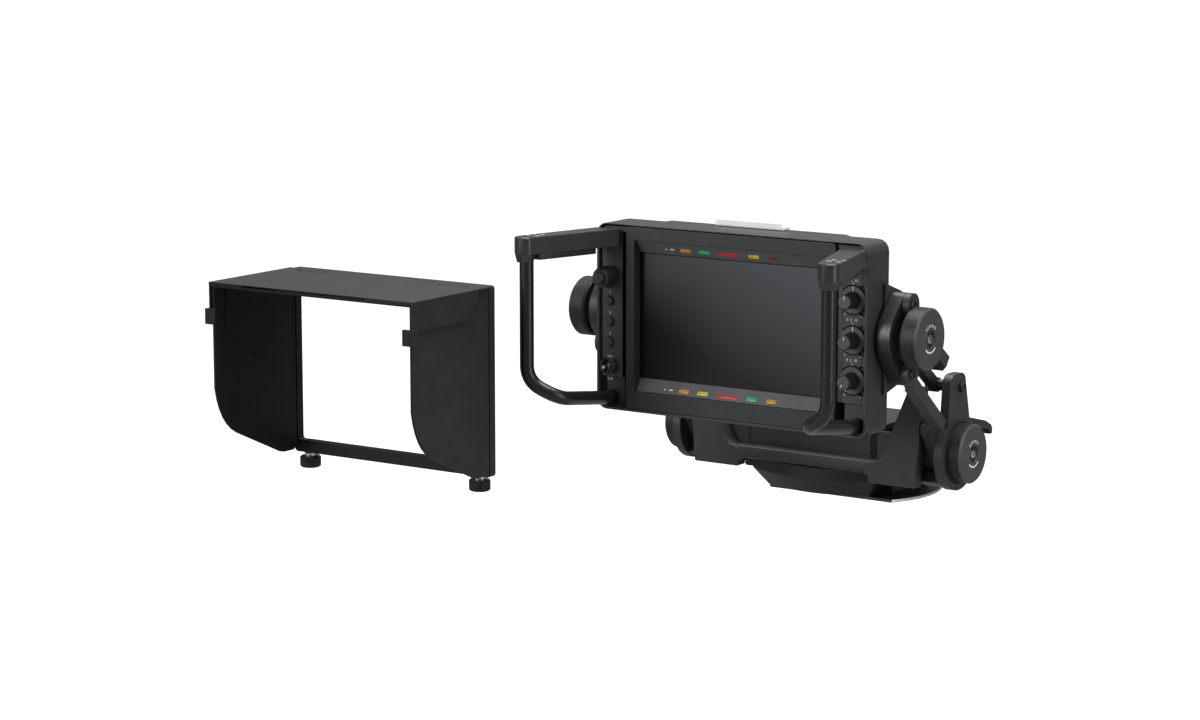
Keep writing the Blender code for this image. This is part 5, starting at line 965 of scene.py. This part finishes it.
# Left controls: a rubber menu dial with its press cap, three moulded push buttons, and the
# bright power toggle between two round guards. Numbers, ON and OFF are printed beside them.
BUTTON_EDGE = 0.0003
LEFT_X = -0.1108
TOGGLE_Z = 0.1150
GUARD_INNER = 0.0044
GUARD_OUTER = 0.0072
GUARD_RISE = 0.0052
GUARD_ROUND = 0.0006
GUARD_SHOULDER = 0.00416
GUARD_HALF = math.radians(52)
GUARD_STEPS = 18
LEFT_LABELS = (("1", 0.1742), ("2", 0.1572), ("3", 0.1407), ("ON", 0.1225), ("OFF", 0.1044))
DIAL_RIBS = 28
RIB_RADIUS = 0.0083
RIB_WIDTH = 0.0007
RIB_RISE = 0.0034
RIB_CORNER = 0.0001
RIB_EDGE = 0.0002
dial_look = grained("dial_rubber", (24, 24, 25), (31, 31, 32), (0.38, 0.50), fineness=1900.0)
button_look = grained("button_moulding", (44, 45, 46), (50, 51, 52), (0.42, 0.55), fineness=1900.0)
dress(["menu_dial"], dial_look)
dress(["menu_cap", "push_button_1", "push_button_2", "push_button_3"], button_look, BUTTON_EDGE)
dress(["toggle_collar"], dark_look)
dress(["power_toggle"], bright_look)
dial_low, dial_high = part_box("menu_dial")
dial_place = facing_to("front", (LEFT_X, STRIP_FACE_Y - RIB_RISE, (dial_low[2] + dial_high[2]) / 2))
shape = bmesh.new()
for rib in range(DIAL_RIBS):
    place = dial_place @ turned(math.tau * rib / DIAL_RIBS) @ Matrix.Translation((RIB_RADIUS, 0, 0))
    slab(shape, RIB_WIDTH, RIB_WIDTH, RIB_RISE, place, RIB_CORNER, RIB_EDGE)
piece("menu_dial_ribs", shape, dial_look, "menu_dial_body")
shape = bmesh.new()
guard_place = facing_to("front", (LEFT_X, STRIP_FACE_Y, TOGGLE_Z))
profile = [
    (GUARD_INNER, 0),
    (GUARD_OUTER, 0),
    (GUARD_OUTER, GUARD_SHOULDER),
    (GUARD_OUTER - GUARD_ROUND, GUARD_RISE),
    (GUARD_INNER + GUARD_ROUND, GUARD_RISE),
    (GUARD_INNER, GUARD_SHOULDER),
]
for start in (-GUARD_HALF, math.pi - GUARD_HALF):
    spin(shape, profile, GUARD_STEPS, guard_place, GUARD_HALF * 2, start, True)
piece("toggle_guards", shape, dial_look, "head")
for number, (words, up) in enumerate(LEFT_LABELS):
    lettering("left_label_%d" % (number + 1), words, facing_to("front", (LEFT_X, STRIP_FACE_Y, up)))

# Tally lens: a translucent white moulding, clipped into the case's top. Light scatters a little
# way into it, and a faint painted glow keeps it white.
LENS_SOFTNESS = 0.5
LENS_REACH = 0.004
LENS_PAINTED_GLOW = 0.10
lens_look = grained(
    "lens_white", (232, 233, 232), (244, 245, 244), (0.30, 0.42), fineness=500.0, depth=0.00001
)
shader = lens_look.node_tree.nodes["Principled BSDF"]
shader.inputs["Subsurface Weight"].default_value = LENS_SOFTNESS
shader.inputs["Subsurface Radius"].default_value = (LENS_REACH, LENS_REACH, LENS_REACH)
# A faint painted glow, white, keeps the lens bright.
shader.inputs["Emission Color"].default_value = WHITE
shader.inputs["Emission Strength"].default_value = LENS_PAINTED_GLOW
dress(["tally_lens"], lens_look)

# Handle tubes: bent steel tube, powder-coated. Each runs from its block's collar down and in
# to the pocket at the case's lower corner.
TUBE_RADIUS = 0.0055
TUBE_BEND = 0.0170
TUBE_NODES = (
    (0.1335, -0.2660, 0.2142),
    (0.1335, -0.2660, 0.1120),
    (0.1096, -0.2565, 0.0995),
    (0.1110, -0.1840, 0.0893),
    (0.1110, -0.1775, 0.0893),
)
BEND_STEPS = 10
BEND_SHARE = 0.45
TUBE_FINENESS = 8
tube_look = grained(
    "handle_coat", (25, 25, 26), (30, 30, 31), (0.26, 0.34), fineness=900.0, depth=0.00001
)
for side, label in SIDES:
    nodes = [Vector((side * across, along, up)) for across, along, up in TUBE_NODES]
    route = [nodes[0]]
    for before, corner, after in zip(nodes, nodes[1:], nodes[2:]):
        back = before - corner
        ahead = after - corner
        reach = min(TUBE_BEND, back.length * BEND_SHARE, ahead.length * BEND_SHARE)
        start = corner + back.normalized() * reach
        end = corner + ahead.normalized() * reach
        for step in range(BEND_STEPS + 1):
            share = step / BEND_STEPS
            route.append(start.lerp(corner, share).lerp(corner.lerp(end, share), share))
    route.append(nodes[-1])
    curve = bpy.data.curves.new("handle_route", "CURVE")
    curve.dimensions = "3D"
    curve.bevel_depth = TUBE_RADIUS
    curve.bevel_resolution = TUBE_FINENESS
    curve.use_fill_caps = True
    curve.twist_mode = "MINIMUM"
    spline = curve.splines.new("POLY")
    spline.points.add(len(route) - 1)
    for point, spot in zip(spline.points, route):
        point.co = (*spot, 1)
    shape = solid_of(curve, WELD_REACH)
    tube = piece("handle_tube_%s_bent" % label, shape, tube_look, "head", smooth=50)
    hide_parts("handle_tube_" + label)

# Handle blocks: moulded arms with a smooth nose and a thicker middle, each screwed to the
# case beside the strip. Four short white marks and a narrow slot lie on the top near the nose.
BLOCK_EDGE = 0.0006
BLOCK_TOP_Z = 0.2250
BLOCK_MARKS = (
    (0.1290, -0.2510, 0.0042), (0.1372, -0.2510, 0.0034),
    (0.1290, -0.2585, 0.0046), (0.1374, -0.2585, 0.0036),
)
BLOCK_MARK_DEPTH = 0.0010
BLOCK_SLOT = (0.1338, -0.2655)
BLOCK_SLOT_SIZE = (0.0074, 0.0010)
BLOCK_SLOT_CORNER = 0.0004
RAIL_MIDDLE = (0.1236, -0.2320)
RAIL_TURN = math.radians(16.4)
RAIL_WIDTH = 0.0162
RAIL_LENGTH = 0.0580
RAIL_TOP_Z = 0.2117
RAIL_LOW_Z = 0.2068
RAIL_CORNER = 0.0030
RAIL_EDGE = 0.0008
block_look = grained(
    "block_moulding", (46, 47, 48), (52, 53, 54), (0.26, 0.36), fineness=1500.0, depth=0.00002
)
dress(["handle_block_left", "handle_block_right"], block_look, BLOCK_EDGE)
for side, label in SIDES:
    shape = bmesh.new()
    for across, along, width in BLOCK_MARKS:
        place = facing_to("up", (side * across, along, BLOCK_TOP_Z))
        slab(shape, width, BLOCK_MARK_DEPTH, MARK, place)
    piece("handle_marks_" + label, shape, print_look, "head")
    shape = bmesh.new()
    place = facing_to("up", (side * BLOCK_SLOT[0], BLOCK_SLOT[1], BLOCK_TOP_Z))
    slab(shape, *BLOCK_SLOT_SIZE, MARK, place, BLOCK_SLOT_CORNER)
    piece("handle_slot_" + label, shape, seam_look, "head")
    shape = bmesh.new()
    place = facing_to("up", (side * RAIL_MIDDLE[0], RAIL_MIDDLE[1], RAIL_TOP_Z))
    place = place @ turned(side * RAIL_TURN) @ Matrix.Rotation(math.pi, 4, "X")
    slab(shape, RAIL_WIDTH, RAIL_LENGTH, RAIL_TOP_Z - RAIL_LOW_Z, place, RAIL_CORNER, RAIL_EDGE)
    piece("handle_rail_" + label, shape, block_look, "head")

# Hood: black-painted sheet on a bent rear frame, with a folded front lip and skirts. Two leaf
# hinges at the rear of the top and one behind the left wall carry it; the left wall has a
# gusset inside, and rivets hold the right one.
HOOD_EDGE = 0.0004
HOOD_X = -0.2512
HOOD_TOP_Z = 0.1870
HOOD_MIDDLE_Z = 0.1120
HOOD_FRONT_Y = -0.3870
HOOD_SHINE = 0.3
INWARD_FROM = -0.03
INSIDE_FLOCK_AND_SHADE = (10, 11, 10)
LIP_DROP = 0.0040
LIP_DEPTH = 0.0013
LIP_HALF = 0.0972
LIP_EDGE = 0.0006
HINGE_FROM = 0.0560
HINGE_TO = 0.0770
HINGE_Y = -0.2985
HINGE_SLOT = 0.0007
HINGE_SCREW = 0.0022
HINGE_SCREW_TOP = 0.0018
HINGE_SCREW_STEPS = 20
PIN_X = 0.0820
PIN_RADIUS = 0.0010
PIN_LENGTH = 0.0060
PIN_DROP = 0.0003
PIN_ROUND = 0.0001
PIN_STEPS = 16
RIVETS = ((-0.2965, 0.1660), (-0.2965, 0.0700))
RIVET_RADIUS = 0.0009
RIVET_DOME = ((0, SKIN * 2), (RIVET_RADIUS * 0.7, SKIN * 1.6), (RIVET_RADIUS, 0), (0, 0))
WALL_X = 0.0960
WALL_HALF = 0.0010
SKIRT_X = 0.0990
SKIRT_EDGE = ((-0.3866, 0.1643), (-0.3181, 0.1643), (-0.3023, 0.1790), (-0.3023, 0.1866))
LEAF_BACK_Y = -0.2871
LEAF_FRONT_Y = -0.2898
LEAF_LOW_Z = 0.0400
LEAF_HIGH_Z = 0.1840
GUSSET_FROM = (-0.3720, 0.1150)
GUSSET_TO = (-0.3000, 0.1820)
GUSSET_CUTS = (((-0.3720, 0.1490), (-0.3250, 0.1150)), ((-0.3250, 0.1150), (-0.3000, 0.1480)))
GUSSET_THICK = 0.0006


def stroke(shape, start, stop, width, rise, place):
    """A straight raised line between two points of its place's XY plane."""
    reach = Vector(stop) - Vector(start)
    middle = (Vector(start) + Vector(stop)) / 2
    turn = turned(math.atan2(reach.y, reach.x))
    slab(shape, reach.length, width, rise, place @ Matrix.Translation((*middle, 0)) @ turn)


hood_look = grained(
    "hood_paint", (40, 41, 43), (46, 47, 49), (0.48, 0.60), fineness=2000.0, depth=0.00004
)
tree = hood_look.node_tree
tree.nodes["Principled BSDF"].inputs["Specular IOR Level"].default_value = HOOD_SHINE
# Faces that look into the hood take a near-black tone: the inside's flock black, deepened with painted
# shade.
coords = tree.nodes.new("ShaderNodeTexCoord")
centred = tree.nodes.new("ShaderNodeMapping")
centred.inputs["Location"].default_value = (-HOOD_X, -HOOD_FRONT_Y, -HOOD_MIDDLE_Z)
centred.inputs["Scale"].default_value = (1, 0, 1)
inward = tree.nodes.new("ShaderNodeVectorMath")
inward.operation = "DOT_PRODUCT"
tree.links.new(coords.outputs["Object"], centred.inputs["Vector"])
tree.links.new(centred.outputs["Vector"], inward.inputs[0])
tree.links.new(coords.outputs["Normal"], inward.inputs[1])
masked(hood_look, worked(tree, "LESS_THAN", inward.outputs["Value"], INWARD_FROM), INSIDE_FLOCK_AND_SHADE)
dress(["hood_frame", "hood_top", "hood_wall_left", "hood_wall_right"], hood_look, HOOD_EDGE)
shape = bmesh.new()
place = facing_to("front", (HOOD_X, HOOD_FRONT_Y + LIP_DEPTH, HOOD_TOP_Z - LIP_DROP / 2))
slab(shape, LIP_HALF * 2, LIP_DROP, LIP_DEPTH, place, edge=LIP_EDGE)
piece("hood_lip", shape, hood_look, "hood")
# A painted shadow line, in the seam-shadow black, runs under the edge of each skirt.
shape = bmesh.new()
for side, label in SIDES:
    place = facing_to(label, (HOOD_X + side * (SKIRT_X + SKIN / 2), 0, 0))
    line = [(side * along, up) for along, up in SKIRT_EDGE]
    for start, stop in zip(line, line[1:]):
        stroke(shape, start, stop, SEAM_WIDTH, SKIN, place)
piece("hood_skirt_shadow", shape, seam_look, "hood")
# The hinge leaf behind the left wall is a thin sheet in the seam-shadow black; it also paints the shade
# in the slit between the wall and the frame.
shape = bmesh.new()
place = facing_to("front", (HOOD_X - WALL_X, LEAF_BACK_Y, (LEAF_LOW_Z + LEAF_HIGH_Z) / 2))
slab(shape, WALL_HALF * 2, LEAF_HIGH_Z - LEAF_LOW_Z, LEAF_BACK_Y - LEAF_FRONT_Y, place)
piece("hood_hinge_leaf_and_shade", shape, seam_look, "hood")
shape = bmesh.new()
for side in (1, -1):
    place = facing_to("up", (HOOD_X + side * (HINGE_FROM + HINGE_TO) / 2, HINGE_Y, HOOD_TOP_Z))
    slab(shape, HINGE_TO - HINGE_FROM, HINGE_SLOT, MARK * 2, place)
    place = facing_to("up", (HOOD_X + side * HINGE_TO, HINGE_Y, HOOD_TOP_Z))
    profile = [(0, SKIN), (HINGE_SCREW_TOP, SKIN), (HINGE_SCREW, 0), (0, 0)]
    spin(shape, profile, HINGE_SCREW_STEPS, place)
piece("hood_hinge_slots", shape, seam_look, "hood")
shape = bmesh.new()
for side in (1, -1):
    start_x = HOOD_X + side * PIN_X - PIN_LENGTH / 2
    place = facing_to("right", (start_x, HINGE_Y, HOOD_TOP_Z - PIN_DROP))
    profile = [(0, 0), (PIN_RADIUS, PIN_ROUND), (PIN_RADIUS, PIN_LENGTH - PIN_ROUND), (0, PIN_LENGTH)]
    spin(shape, profile, PIN_STEPS, place)
piece("hood_hinge_pins", shape, dark_look, "hood")
shape = bmesh.new()
for along, up in RIVETS:
    place = facing_to("right", (HOOD_X + WALL_X + WALL_HALF, along, up))
    spin(shape, RIVET_DOME, PIN_STEPS, place)
piece("hood_rivets", shape, screw_look, "hood_wall_right_body")
shape = bmesh.new()
bmesh.ops.create_grid(shape, x_segments=1, y_segments=1, size=0.5)
wide, tall = (stop - start for start, stop in zip(GUSSET_FROM, GUSSET_TO))
bmesh.ops.scale(shape, vec=(wide, tall, 1), verts=shape.verts)
middle = (GUSSET_FROM[0] + wide / 2, GUSSET_FROM[1] + tall / 2, 0)
bmesh.ops.translate(shape, vec=middle, verts=shape.verts)
for start, stop in GUSSET_CUTS:
    bmesh.ops.bisect_plane(
        shape, geom=shape.verts[:] + shape.edges[:] + shape.faces[:], plane_co=(*start, 0),
        plane_no=(stop[1] - start[1], start[0] - stop[0], 0), clear_outer=True,
    )
pulled_up(shape, shape.faces[:], GUSSET_THICK)
place = facing_to("right", (HOOD_X - WALL_X + WALL_HALF, 0, 0))
bmesh.ops.transform(shape, matrix=place, verts=shape.verts)
gusset = piece("hood_gusset", shape, hood_look, "hood_wall_left_body")
bevel = gusset.modifiers.new("Edges", "BEVEL")
bevel.width = GUSSET_THICK / 3
bevel.segments = 2

# Thumb screws: knurled black heads below the hood's frame, moulded on steel studs that run
# up through it. A short bare neck shows above each head.
THUMB_RADIUS = 0.0086
THUMB_STEPS = 64
THUMB_FLAT = 0.0013
THUMB_ROUND = 0.0012
THUMB_SHOULDER = 0.0081
THUMB_TOP = 0.0092
THUMB_TOP_ROUND = 0.0011
THUMB_NECK = 0.0046
THUMB_STEM = 0.0030
THUMB_STEM_TOP = 0.0212
THUMB_GROOVE = 0.0004
THUMB_ROWS = 4
BAND_FROM = 0.0016
BAND_TO = 0.0078
KNURL_EDGE = 0.00022
KNURL_DEPTH = 0.0003
SEAT = 0.0001
NECK_TOP = 0.0116
NECK_STEPS = 32
thumb_look = grained(
    "thumb_knurl", (30, 30, 31), (38, 38, 39), (0.38, 0.50), fineness=1900.0, depth=0.00002
)
for label in ("left", "right"):
    node = "thumb_screw_" + label
    body = node + "_body"
    low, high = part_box(node)
    centre = ((low[0] + high[0]) / 2, (low[1] + high[1]) / 2, low[2])
    root = THUMB_RADIUS - THUMB_GROOVE
    neck_low = THUMB_TOP + SEAT
    profile = [
        (0, 0),
        (THUMB_RADIUS - THUMB_FLAT, 0),
        (THUMB_RADIUS, THUMB_ROUND),
        *((root, BAND_FROM + (BAND_TO - BAND_FROM) * row / THUMB_ROWS) for row in range(THUMB_ROWS + 1)),
        (THUMB_RADIUS, THUMB_SHOULDER),
        (THUMB_RADIUS - THUMB_TOP_ROUND, THUMB_TOP),
        (THUMB_NECK, THUMB_TOP),
        (THUMB_NECK, neck_low),
        (THUMB_STEM, neck_low),
        (THUMB_STEM, THUMB_STEM_TOP),
        (0, THUMB_STEM_TOP),
    ]
    shape = bmesh.new()
    spin(shape, profile, THUMB_STEPS, Matrix.Identity(4))
    bmesh.ops.recalc_face_normals(shape, faces=shape.faces)
    squares = band_faces(shape, root - SKIN, BAND_FROM, BAND_TO)
    bmesh.ops.inset_individual(shape, faces=squares, thickness=KNURL_EDGE, depth=KNURL_DEPTH)
    bmesh.ops.translate(shape, vec=centre, verts=shape.verts)
    screw = piece(node + "_knurled", shape, thumb_look, body)
    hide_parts(node)
    shape = bmesh.new()
    inner = THUMB_STEM + SEAT
    profile = [(inner, neck_low), (THUMB_NECK, neck_low), (THUMB_NECK, NECK_TOP), (inner, NECK_TOP)]
    spin(shape, profile, NECK_STEPS, facing_to("up", centre), closed=True)
    piece(node + "_neck", shape, bright_look, body)

low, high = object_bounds()
